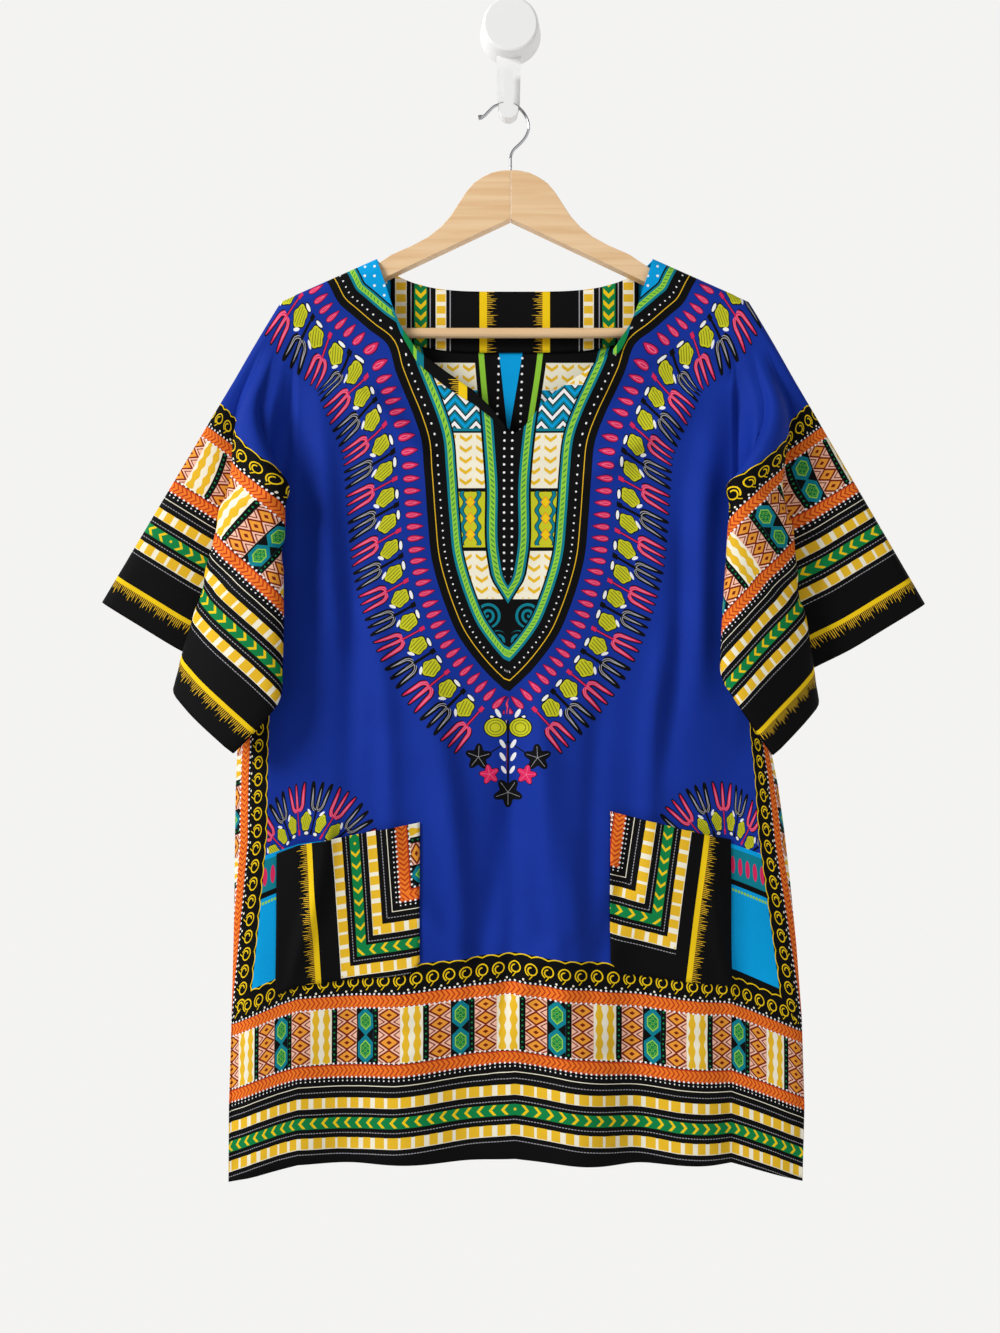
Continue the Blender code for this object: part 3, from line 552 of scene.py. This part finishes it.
def linear(name):
    colour = [part / 255 for part in dyes[name]]
    return tuple(part / 12.92 if part < 0.04 else ((part + 0.055) / 1.055) ** 2.4 for part in colour) + (1,)


# A number in a node tree, written as arithmetic. A comparison gives 1 or 0, & is "both" and | is "either".
class Value:
    def __init__(self, tree, socket):
        self.tree = tree
        self.socket = socket

    def apply(self, operation, *others):
        node = self.tree.nodes.new("ShaderNodeMath")
        node.operation = operation
        for place, item in enumerate((self, *others)):
            if isinstance(item, Value):
                self.tree.links.new(item.socket, node.inputs[place])
            else:
                node.inputs[place].default_value = item
        return Value(self.tree, node.outputs[0])

    def __add__(self, other):
        return self.apply("ADD", other)

    def __sub__(self, other):
        return self.apply("SUBTRACT", other)

    def __mul__(self, other):
        return self.apply("MULTIPLY", other)

    def __truediv__(self, other):
        return self.apply("DIVIDE", other)

    def __lt__(self, other):
        return self.apply("LESS_THAN", other)

    def __gt__(self, other):
        return self.apply("GREATER_THAN", other)

    def __and__(self, other):
        return self.apply("MULTIPLY", other)

    def __or__(self, other):
        return self.apply("MAXIMUM", other)

    def size(self):
        return self.apply("ABSOLUTE")

    def root(self):
        return self.apply("SQRT")

    def clamp(self):
        return self.apply("MINIMUM", 1).apply("MAXIMUM", 0)

    def near(self, centre, half):
        return self.apply("COMPARE", centre, half)

    def repeat(self, period, centre=0):
        return (self - centre).apply("WRAP", period / 2, -period / 2)

    def wave(self, period, height):
        return (self * (2 * math.pi / period)).apply("SINE") * height


def far(x, y):
    return (x * x + y * y).root()


# The colour built up so far in one material
class Cloth:
    def __init__(self, name, ground):
        self.material = bpy.data.materials.new(name)
        self.material.use_nodes = True
        self.tree = self.material.node_tree
        self.shader = self.tree.nodes["Principled BSDF"]
        node = self.tree.nodes.new("ShaderNodeRGB")
        node.outputs[0].default_value = linear(ground)
        self.colour = node.outputs[0]

    def place(self, name):
        split = self.tree.nodes.new("ShaderNodeSeparateXYZ")
        self.tree.links.new(self.uv(name), split.inputs[0])
        return Value(self.tree, split.outputs[0]), Value(self.tree, split.outputs[1])

    def uv(self, name):
        node = self.tree.nodes.new("ShaderNodeUVMap")
        node.uv_map = name
        return node.outputs[0]

    def paint(self, colour, mask):
        node = self.tree.nodes.new("ShaderNodeMix")
        node.data_type = "RGBA"
        node.clamp_factor = True
        self.tree.links.new(mask.socket, node.inputs[0])
        self.tree.links.new(self.colour, node.inputs[6])
        if isinstance(colour, str):
            node.inputs[7].default_value = linear(colour)
        else:
            self.tree.links.new(colour, node.inputs[7])
        self.colour = node.outputs[2]

    def bands(self, value, low, high, rows, mask):
        # rows: where a colour starts, and the colour
        node = self.tree.nodes.new("ShaderNodeValToRGB")
        ramp = node.color_ramp
        ramp.interpolation = "CONSTANT"
        while len(ramp.elements) < len(rows):
            ramp.elements.new(1)
        for element, (start, name) in zip(ramp.elements, rows):
            element.position = min(max((start - low) / (high - low), 0), 1)
            element.color = linear(name)
        share = (value - low) / (high - low)
        self.tree.links.new(share.socket, node.inputs[0])
        self.paint(node.outputs[0], mask)


# Tulips and leaves, in mm along and out: their step, and how far out the cups and leaves sit
motif = {"step": 24, "start": 13, "pivot": 28, "cup": 54, "leaf": 37}


def paintMotifs(cloth, along, out, allowed, slant):
    # tulips on stems, ribbed leaves between them and small white leaflets
    paint = cloth.paint
    step = motif["step"]
    lean = along + motif["start"] + (out - motif["pivot"]) * slant
    isPink = lean.repeat(2 * step, 20).size() < step / 2
    x = lean.repeat(step, 20) * ((out - motif["cup"]) * -0.01 + 1)
    side = x.size()
    cup = far(side, (out - motif["cup"]).apply("MINIMUM", 0)) - 6.6
    prong = cup.size().apply("MINIMUM", side * 1.1)
    prong = prong - ((out - 73) / -24).root() * 2.1
    inFlower = out.near(60.5, 13.5) & allowed & (lean > 8)
    stem = side - (out.near(27.5, 2.5) * 1.6 + 0.8)
    onStem = out.near(37, 12) & allowed & (lean > 8)
    paint("black", ((prong < 0.9) & inFlower) | ((stem < 0.7) & onStem))
    fill = ((prong < -0.1) & inFlower) | ((stem < 0) & onStem)
    paint("pink", fill & isPink)
    vein = prong.near(-1.25, 0.35) & inFlower
    paint("blush", vein & isPink)
    paint("grey", vein & (isPink * -1 + 1))
    leafX = lean.repeat(step, 8)
    leafY = out - motif["leaf"]
    turn = leafX.apply("ARCTAN2", leafY)
    leaf = far(leafX, leafY * 0.88) - ((turn * 5).apply("COSINE") * 0.6 + 7.4)
    inLeaf = allowed & (lean > 20)
    paint("black", (leaf < 0.9) & inLeaf)
    paint("leaf", (leaf < 0) & inLeaf)
    rib = (leafX * 2.1 + leafY * 0.7).apply("SINE") > 0.6
    paint("moss", (leaf < -1.3) & rib & inLeaf)
    seedX = lean.repeat(2 * step, 44).size()
    low = far((seedX - 9.6) / 4.2, (out - 26.5) / 1.5) < 1
    dx, dy = seedX - 8.6, out - 46
    high = far((dx + dy) / 5, (dx - dy) / 1.9) < 1
    paint("black", far((seedX - 9.6) / 5.2, (out - 26.5) / 2.4) < 1)
    paint("white", (low | high) & allowed)


def paintSprig(cloth, x, y):
    # the hanging sprig below the ornament's tip: out, down, size, kind
    paint = cloth.paint
    side = x.size()
    stem = (side < 0.9) & y.near(462, 34)
    paint("black", stem | ((side - (y - 447) * 1.6).near(0, 1.1) & y.near(454, 7)))
    for out, down, size, kind in (
        (11.5, 434, 8.4, "leaf"), (9, 421, 4, "white"), (5, 449, 4, "white"), (5, 461, 4, "white"),
        (4, 473, 3.6, "white"), (27, 461, 12.5, "black"), (17, 477, 9.6, "pink"), (0, 494, 14, "black"),
    ):
        localX = side - out
        localY = y - down
        if kind == "white":
            paint("white", far(localX * 1.9 + localY * 0.9, localY) < size)
            continue
        if kind == "leaf":
            reach = far(localX * 0.85, localY)
            paint("black", reach < size + 0.9)
            paint("leaf", reach < size)
            paint("moss", reach.near(size * 0.5, 0.4) | reach.near(size * 0.8, 0.35))
            continue
        reach = far(localX, localY)
        turn = localX.apply("ARCTAN2", localY) - out * 0.025
        star = reach - ((turn * 5).apply("COSINE") * 0.2 + 0.74) * size
        vein = (turn * 2.5).apply("SINE").size() * reach < 0.42
        paint("black", star < 0.8)
        if kind == "pink":
            paint("pink", star < 0)
            paint("blush", vein & (star < -1))
        else:
            paint("grey", vein & (star < -1.6))


def paintOrnament(cloth, onFront):
    paint = cloth.paint
    signedAlong, inward = cloth.place("ring")
    x, down = cloth.place("chest")
    along = signedAlong * ((x > 0) * 2 - 1)
    out = inward * -1
    isRing = out > 0
    drop = (out - 4.5) / 15
    half = drop * (drop * -1 + 1.02).root() * 6.9
    off = along.repeat(11.2).size() - half
    nearby = out.near(12.4, 8.2)
    paint("plum", (off < 0.8) & nearby)
    paint("pink", (off < 0) & nearby)
    paint("blush", off.near(-1.7, 0.3) & nearby)
    slant = ((down - 270) / 90).clamp() * -0.4 + 0.45
    paintMotifs(cloth, along, out, isRing & (along > -6), slant)
    paintSprig(cloth, x, down)
    layers = (
        (0, "black"), (6.8, "gold"), (7.7, "black"), (20, "teal"), (22.4, "lime"), (27, "teal"),
        (28.7, "black"),
    )
    cloth.bands(inward, 0, 34, layers, inward > 0)
    paint("white", far(signedAlong.repeat(7.5), inward - 13) < 0.85)
    flecks = ((signedAlong.repeat(5) + (inward - 24.7)).size() < 0.7) & inward.near(24.7, 1.3)
    paint("green", flecks)
    core = inward > 30.3
    parts = (
        (-60, "sky"), (60, "black"), (92, "cream"), (118, "teal"), (160, "black"), (163, "cream"),
        (213, "black"), (216.5, "leaf"), (268, "black"), (272, "cream"), (316, "black"),
    )
    cloth.bands(down, -60, 376, parts, core)
    isCream = (down.near(105, 13) | down.near(188, 25) | down.near(294, 22)) & core
    column = x.size().repeat(15, 39).size()
    chevron = (down + column * 0.7).repeat(10).size()
    paint("gold", isCream & (chevron < 1.7) & (column < 5.6))
    zig = (down + x.repeat(20).size() * 1.1).repeat(15).size()
    inZig = down.near(139, 20) & core
    paint("black", (zig < 3.6) & inZig)
    paint("white", (zig < 2) & inZig)
    paint("sky", (zig > 6) & inZig)
    paint("white", (far(x.repeat(9), down.repeat(9)) < 1.2) & (down < 60) & core)
    blocksX, blocksY = x.size().repeat(24, 34.5), (down - 242).repeat(15)
    inFlower = down.near(242, 25) & core
    vine = (blocksX.size() - ((down - 246).wave(15, 1.7) + 6.4)).size()
    paint("black", (vine < 2.2) & inFlower)
    paint("teal", (vine < 1.5) & inFlower)
    bloom = blocksX.size() + blocksY.size() * 0.8
    paint("orange", (bloom < 4.6) & inFlower)
    paint("yellow", (bloom < 3.9) & inFlower)
    for middleX, middleY, reach in ((19, 331, 12.5), (9.5, 354, 9)):
        curlX, curlY = x.size() - middleX, down - middleY
        curl = far(curlX, curlY)
        spiral = (curl * 1.15 - curlX.apply("ARCTAN2", curlY)).apply("SINE")
        paint("teal", (spiral > 0.1) & (curl < reach) & core)
    half = cloth.place("slit")[0]
    rope = x.size() - half
    reach = (down > 40) & (down < 322) & core
    paint("black", (rope < 9.5) & reach)
    if onFront:
        paint("teal", (rope < 7.5) & reach)
        paint("lime", (rope < 5.2) & reach)
        paint("green", rope.near(2.4, 1.6) & ((down + rope).repeat(5).size() < 0.8) & reach)
        paint("teal", (rope < 0) & reach)
        paint("black", (rope < -2.2) & reach)
        paint("white", (far(x.size() - 3.6, down.repeat(7.4)) < 1.1) & (rope < -3.6) & reach)
    else:
        paint("lime", rope.near(3, 2.6) & reach)
        paint("sky", (x.size() < (down * -1 + 163) * 0.14) & (down > 60) & reach)
        paint("white", (far(x.size() - 11, down.repeat(7.4)) < 1.1) & (rope < -1) & reach)


# Border: its width, step of its curls, length and shift of a block, and where each colour starts
border = {"width": 177, "curl": 15, "block": 88, "shift": 16.65}
borderRows = (
    (0, "black"), (25.6, "brick"), (26.9, "orange"), (36.1, "brick"), (37.4, "black"), (88.6, "brick"),
    (89.9, "orange"), (99.1, "brick"), (100.4, "black"), (107.9, "cream"), (109.1, "black"),
    (113.6, "grey"), (114.5, "black"), (119.5, "cream"), (129, "black"), (133.6, "grey"),
    (134.5, "black"), (137.5, "green"), (147.5, "black"), (151.2, "grey"), (152.1, "black"), (156, "cream"),
    (166, "black"), (170.2, "grey"), (171.1, "black"),
)
blockRows = (
    (0, "cream"), (20.5, "black"), (26, "rose"), (45.5, "black"), (47, "teal"), (62.5, "black"),
    (67.5, "rose"),
)


def paintBorder(cloth, out, along):
    # out is the distance in from the blue edge, along the place on the border
    paint = cloth.paint
    inside = out > 0
    cloth.bands(out, 0, border["width"], borderRows, inside)
    scallop = out + (along * (math.pi / border["curl"])).apply("SINE").size() * 2
    paint("yellow", scallop.near(2.4, 0.6) & inside)
    x = along.repeat(border["curl"])
    curl = far(x, out - 13.5)
    turn = x.apply("ARCTAN2", out - 13.5) / (2 * math.pi) + 0.5
    spiral = (curl - (turn * 3.2 + 2.4)).size() < 0.6
    closing = curl.near(5.6, 0.6) & (turn < 0.42)
    tail = (x + (out - 19) * 0.8).near(0, 0.55) & out.near(20, 1.7)
    paint("yellow", spiral | closing | tail)
    paint("cream", far(along.repeat(border["curl"], border["curl"] / 2), out - 22.5) < 1)
    inBlocks = out.near(63, 25.2)
    halfBlock = border["block"] / 2
    share = (along + border["shift"]).repeat(border["block"], halfBlock) + halfBlock
    cloth.bands(share, 0, border["block"], blockRows, inBlocks)
    sway = (out - 38).wave(12.6, 0.8)
    stripes = ((share - 10.25).size() - 5.2).size() + sway
    paint("gold", (stripes < 2.8) & (share < 20.5) & inBlocks)
    off = (share - 56.75).size() - 21
    isLattice = off.near(0, 9.8) & inBlocks
    lozenge = off.size() / 9.8 + (out - 38).repeat(12.62, 6.31).size() / 6.31
    paint("amber", (lozenge < 1) & isLattice)
    paint("rust", (lozenge.near(0.94, 0.15) | lozenge.near(1.45, 0.09)) & isLattice)
    paint("rust", (lozenge < 0.28) & isLattice)
    high = (out - 38).repeat(25.25, 12.6)
    wide = share - 54.75
    medal = (wide.size() / 7.2).apply("MAXIMUM", wide.size() / 13 + high.size() / 12)
    isMedal = (wide.size() < 7.7) & inBlocks
    paint("black", (medal > 1.12) & isMedal)
    paint("green", (medal < 0.66) & isMedal)
    swirl = (high * 1.3).apply("SINE") * (wide * 1.2).apply("COSINE")
    paint("lime", (medal.near(0.66, 0.06) | (swirl.near(0.3, 0.16) & (medal < 0.58))) & isMedal)
    dots = far(share.repeat(41.8, 23.2), out.repeat(5)) < 0.9
    paint("green", dots & inBlocks & share.near(44, 22.5) & (wide.size() > 8.4))
    rope = (out - 31.5).size().apply("MINIMUM", (out - 94.5).size())
    twist = ((along + rope * 0.8).repeat(4.6).size() < 0.85) & (rope < 4.7)
    paint("brick", twist)
    picot = far(along.repeat(4.6), rope - 6.3) < 1
    paint("white", picot | (far(along.repeat(4.6), out - 104) < 0.7))
    gaps = along.repeat(2.8).size() < 0.5
    lines = out.near(114, 0.7) | out.near(134, 0.7) | out.near(151.6, 0.7) | out.near(170.6, 0.7)
    paint("black", lines & gaps)
    dash = along.repeat(12.4).size() - (along.wave(61, 0.7) + 4.4)
    paint("gold", (dash < 0) & (out.near(124.2, 4.75) | out.near(161, 5)))
    middleOff = (out - 142.5).size()
    arrow = (along.size() + middleOff * 0.9).repeat(11.3)
    paint("yellow", arrow.near(0, 1.5) & (middleOff < 4.6))


def paintIkat(cloth, out, along, start, end, fringe):
    # a brushed yellow stripe whose far edge frays into the black
    ragged = along.wave(1.9, 2.2) + along.wave(3.1, 2.4) + along.wave(7.3, 1.2)
    way = 1 if fringe > end else -1
    centre = (start + end) / 2
    half = abs(end - start) / 2
    cloth.paint("yellow", out.near(centre, half))
    tip = (out - end) * way
    streak = (tip + ragged < abs(fringe - end) * 0.42) & (tip > -0.5) & (along.repeat(1.7).size() < 0.34)
    cloth.paint("gold", streak)


def finishCloth(cloth, uvName):
    # soft unevenness of the dye, a fine weave and a dry surface
    tree = cloth.tree
    cloud = tree.nodes.new("ShaderNodeTexNoise")
    cloud.inputs["Scale"].default_value = 0.02
    cloud.inputs["Detail"].default_value = 3
    tree.links.new(cloth.uv(uvName), cloud.inputs["Vector"])
    tone = Value(tree, cloud.outputs[0]) * 0.3 + 0.85
    mixed = tree.nodes.new("ShaderNodeMix")
    mixed.data_type = "RGBA"
    mixed.blend_type = "MULTIPLY"
    mixed.inputs[0].default_value = 1
    tree.links.new(cloth.colour, mixed.inputs[6])
    tree.links.new(tone.socket, mixed.inputs[7])
    tree.links.new(mixed.outputs[2], cloth.shader.inputs["Base Color"])
    x, y = cloth.place(uvName)
    weave = x.wave(0.9, 1) * y.wave(0.9, 1)
    bump = tree.nodes.new("ShaderNodeBump")
    bump.inputs["Strength"].default_value = 0.12
    bump.inputs["Distance"].default_value = 0.0004
    tree.links.new(weave.socket, bump.inputs["Height"])
    tree.links.new(bump.outputs[0], cloth.shader.inputs["Normal"])
    cloth.shader.inputs["Roughness"].default_value = 0.72
    cloth.shader.inputs["Specular IOR Level"].default_value = 0.1
    return cloth.material


def panelMaterial(name, onFront):
    cloth = Cloth(name, "blue")

    def places():
        across, down = cloth.place("cut")
        side = across.size()
        late = ((down - 255) / 65).clamp()
        slant = (down - 500).apply("MAXIMUM", 0) * 0.13
        beside = side - slant - (late * -60 + 60 + cut["sideBorder"])
        onLeft = across < 0
        below = down - cut["hemBorder"] + ((side - 110) / 120).clamp() * onLeft * 6
        below = below * (((side - 150) / 110).clamp() * 0.045 + 1)
        isSleeve = (side > cut["sideSeam"] + 0.01) & (down < cut["sleeveDepth"] + 1)
        byHem = below > beside
        along = down + (across - down) * byHem
        out = below.apply("MAXIMUM", beside)
        sleeve = (side - cut["sleeveBorder"]) * 1.07
        along = along + (down - onLeft * 27 - along) * isSleeve
        return out + (sleeve - out) * isSleeve, along

    if onFront:
        across, down = cloth.place("cut")
        side = across.size()
        x, y = side - 201.5, down * -1 + 542
        distance = far(x, y)
        shift = (across > 0) * 11
        along = x.apply("ARCTAN2", y) * 67 + shift
        allowed = (distance < 80) & (y > 14) & (side < cut["sideBorder"])
        paintMotifs(cloth, along + 145, distance - 6, allowed, 0)
        patch = side.near(206, 61)
        cloth.paint("sky", patch & (down > 519) & (down < 640))
        cloth.paint("teal", patch & down.near(538, 15))
        drops = far(side.repeat(10.4) / 3, (down - 538) / 8)
        cloth.paint("pink", patch & (drops < 1))
        cloth.paint("black", patch & (down.near(554, 2.5) | down.near(640, 6)))
        cloth.paint("lime", patch & down.near(561, 1.2) & (side.repeat(4).size() < 1.4))
    paintOrnament(cloth, onFront)
    paintBorder(cloth, *places())
    across, down = cloth.place("cut")
    out = (across.size() - cut["sleeveBorder"]) * 1.07
    sleeve = out + (down > cut["sleeveDepth"] + 1) * -999
    paintIkat(cloth, sleeve, down, 199.5, 204, 219)
    return finishCloth(cloth, "cut")


def pocketMaterial(name, raised, shifted, leaning, ikat):
    cloth = Cloth(name, "black")

    def places():
        x, y = cloth.place("pocket")
        x = x + y * leaning + shifted
        y = y - raised
        byRow = y > x
        return x.apply("MAXIMUM", y) * 1.07 + 77, x + (y - x) * (byRow * -1 + 1) + 38

    paintBorder(cloth, *places())
    x, y = cloth.place("pocket")
    x = x + y * leaning + shifted
    cloth.paint("black", x > 84)
    paintIkat(cloth, x, y, ikat, ikat + 5.5, ikat + 18)
    return finishCloth(cloth, "pocket")


def facingMaterial():
    cloth = Cloth("facing cloth", "black")
    across, down = cloth.place("cut")
    side = across.size()
    rows = (
        (0, "black"), (60, "grey"), (60.8, "black"), (64, "cream"), (74, "black"), (78.5, "grey"),
        (79.3, "black"), (82, "green"), (94, "black"), (96.5, "grey"), (97.3, "black"), (101, "cream"),
        (112, "black"),
    )
    cloth.bands(side, 0, 120, rows, side > 0)
    dash = down.repeat(11).size() < 3.6
    cloth.paint("gold", dash & (side.near(69, 4.2) | side.near(106.5, 4.6)))
    arrow = (down + (side - 88).size()).repeat(10.4)
    cloth.paint("yellow", (arrow.size() < 2.2) & side.near(88, 5))
    paintIkat(cloth, side, down, 33, 26, 14)
    cloth.paint("sky", down < 3)
    return finishCloth(cloth, "cut")


def flapMaterial():
    cloth = Cloth("flap cloth", "black")
    across, down = cloth.place("cut")
    side = across.size()
    cloth.paint("teal", side > 84)
    cloth.paint("green", side.near(98, 5))
    cloth.paint("lime", side.near(92, 1.5))
    paintIkat(cloth, side, down, 44, 52, 64)
    return finishCloth(cloth, "cut")


for name, onFront in (("shirt_front", True), ("shirt_back", False)):
    panels[name].data.materials.append(panelMaterial(name + " cloth", onFront))
    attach(panels[name], "root")
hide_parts("front_panel")
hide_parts("back_panel")
print("panels dyed")


def trimGrid(name, side, across, down, lift, extra, material, node):
    points = onPanel(side, across, down, lift)
    layers = {"cut": np.stack([across, down], axis=-1), **extra}
    item = asShell(gridObject(name, points, side == 1, layers), cut["trimShell"])
    item.data.materials.append(material)
    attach(item, "root")
    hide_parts(node)
    return item


# Pockets: node, side, outer edge across, top edge at the inner and outer side, how far the mouth gapes,
# and the print's place: how far it is raised and shifted, how it leans, and where its frayed stripe starts
pocket = {"inner": 87, "bottom": 649, "corner": 14, "lift": 2.7}
pockets = (
    ("pocket_left", -1, 234, 512, 521, 8, (46, 0, 0.065, 103.5)),
    ("pocket_right", 1, 205, 502, 515, 10, (27, 8, 0.13, 97)),
)
for node, side, outer, innerTop, outerTop, gape, printed in pockets:
    share = np.linspace(0, 1, 45)[:, None]
    row = np.linspace(0, 1, 41)[None, :] ** 1.4
    width = side * (pocket["inner"] + (outer - pocket["inner"]) * share)
    top = innerTop + (outerTop - innerTop) * share ** 0.8
    fromCorner = np.clip(share * (outer - pocket["inner"]) / pocket["corner"], 0, 1)
    rounded = pocket["corner"] * (1 - fromCorner) ** 2
    bottom = pocket["bottom"] - rounded * 0.8
    down = top + (bottom - top) * row
    across = np.broadcast_to(width, down.shape).copy()
    gaping = gape * np.sin(math.pi * share) * (1 - row) ** 2
    inward = np.stack([np.abs(across) - pocket["inner"], down - top], axis=-1)
    order = slice(None) if side > 0 else slice(None, None, -1)
    trimGrid(
        "patch_" + node, 1, across[order], down[order], (pocket["lift"] + gaping)[order],
        {"pocket": inward[order]}, pocketMaterial(node + " cloth", *printed), node,
    )

neckLine = np.array(frontNeck, float)
flapCloth = flapMaterial()
flapLift = 2.8
# Turned neck edges: node, side, outer and inner end across, depth
for node, side, widest, narrowest, depth in (
    ("slit_flap_left", -1, 113, 8, 14), ("slit_flap_right", 1, 106, 90, 11),
):
    share = np.linspace(0, 1, 41)[:, None]
    row = np.linspace(0, 1, 7)[None, :]
    out = widest + (narrowest - widest) * share
    top = np.interp(out, neckLine[:, 0], neckLine[:, 1])
    down = top + depth * np.sin(math.pi * (0.06 + 0.88 * share)) ** 0.7 * row
    across = np.broadcast_to(out * side, down.shape).copy()
    order = slice(None) if side < 0 else slice(None, None, -1)
    trimGrid("turned_" + node, 1, across[order], down[order], flapLift, {}, flapCloth, node)

facing = {"half": 116, "depth": 57, "behind": -1.2}
out = np.linspace(-facing["half"], facing["half"], 59)[:, None]
row = np.linspace(0, 1, 15)[None, :]
down = backNeckDown(out) + facing["depth"] * row
across = np.broadcast_to(out, down.shape).copy()
trimGrid(
    "facing_strip", -1, across, down, facing["behind"], {}, facingMaterial(), "neck_facing"
)
print("trims sewn on")


def plainMaterial(name, colour, roughness, metallic=0):
    material = bpy.data.materials.new(name)
    material.use_nodes = True
    shader = material.node_tree.nodes["Principled BSDF"]
    shader.inputs["Base Color"].default_value = (*colour, 1)
    shader.inputs["Roughness"].default_value = roughness
    shader.inputs["Metallic"].default_value = metallic
    return material


def woodMaterial(name, turn):
    # straight grain along the arm, with fine darker lines
    material = plainMaterial(name, (0.7, 0.42, 0.2), 0.45)
    tree = material.node_tree
    shader = tree.nodes["Principled BSDF"]
    place = tree.nodes.new("ShaderNodeTexCoord")
    mapping = tree.nodes.new("ShaderNodeMapping")
    mapping.inputs["Rotation"].default_value = (0, math.radians(turn), 0)
    mapping.inputs["Scale"].default_value = (7, 160, 160)
    grain = tree.nodes.new("ShaderNodeTexNoise")
    grain.inputs["Scale"].default_value = 1
    grain.inputs["Detail"].default_value = 6
    grain.inputs["Distortion"].default_value = 0.6
    ramp = tree.nodes.new("ShaderNodeValToRGB")
    stops = ((0.3, (0.8, 0.5, 0.25, 1)), (0.66, (0.93, 0.65, 0.38, 1)))
    for element, (position, colour) in zip(ramp.color_ramp.elements, stops):
        element.position = position
        element.color = colour
    tree.links.new(place.outputs["Object"], mapping.inputs[0])
    tree.links.new(mapping.outputs[0], grain.inputs["Vector"])
    tree.links.new(grain.outputs[0], ramp.inputs[0])
    tree.links.new(ramp.outputs[0], shader.inputs["Base Color"])
    return material


def setMaterial(node, material):
    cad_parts[node].data.materials.clear()
    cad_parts[node].data.materials.append(material)


setMaterial("hanger_arm_left", woodMaterial("left arm wood", -25))
setMaterial("hanger_arm_right", woodMaterial("right arm wood", 25))
setMaterial("hanger_bar", woodMaterial("bar wood", 0))
setMaterial("wire_hook", plainMaterial("chromed wire", (0.5, 0.5, 0.52), 0.2, 1))
setMaterial("wall_hook", plainMaterial("white plastic", (0.93, 0.93, 0.92), 0.3))
print("hanger finished")


# Backdrop and floor, in metres
backdrop = {"behind": 5, "half": 16, "low": -4.2, "high": 12, "near": -12}


def stagePlane(name, start, end, colour, glow):
    # start and end: depth and height of two opposite sides
    half = backdrop["half"]
    mesh = bpy.data.meshes.new(name)
    mesh.from_pydata([(-half, *start), (half, *start), (half, *end), (-half, *end)], [], [(0, 1, 2, 3)])
    paint = plainMaterial(name + " paint", colour, 0.9)
    shader = paint.node_tree.nodes["Principled BSDF"]
    shader.inputs["Specular IOR Level"].default_value = 0
    shader.inputs["Emission Color"].default_value = (1, 0.995, 0.985, 1)
    shader.inputs["Emission Strength"].default_value = glow
    mesh.materials.append(paint)
    putInScene(name, mesh)


foot = (backdrop["behind"], backdrop["low"])
stagePlane("backdrop", foot, (backdrop["behind"], backdrop["high"]), (0.02, 0.02, 0.02), 0.89)
stagePlane("floor", (backdrop["near"], backdrop["low"]), foot, (0.8, 0.79, 0.78), 0.2)


def areaLight(name, place, aim, size, power):
    data = bpy.data.lights.new(name, "AREA")
    data.size = size
    data.energy = power
    item = putInScene(name, data)
    item.location = place
    way = np.array(aim, float) - np.array(place, float)
    flat = math.hypot(way[0], way[1])
    item.rotation_euler = (math.atan2(flat, -way[2]), 0, math.atan2(-way[0], way[1]))


areaLight("key light", (-2.7, -1.8, 0.9), (0, 0, -0.55), 1.3, 104)
areaLight("fill light", (1.9, -2.4, -0.2), (0, 0, -0.6), 2.4, 11)
world = bpy.data.worlds.new("studio")
world.use_nodes = True
world.node_tree.nodes["Background"].inputs[0].default_value = (1, 1, 1, 1)
world.node_tree.nodes["Background"].inputs[1].default_value = 0.27
bpy.context.scene.world = world
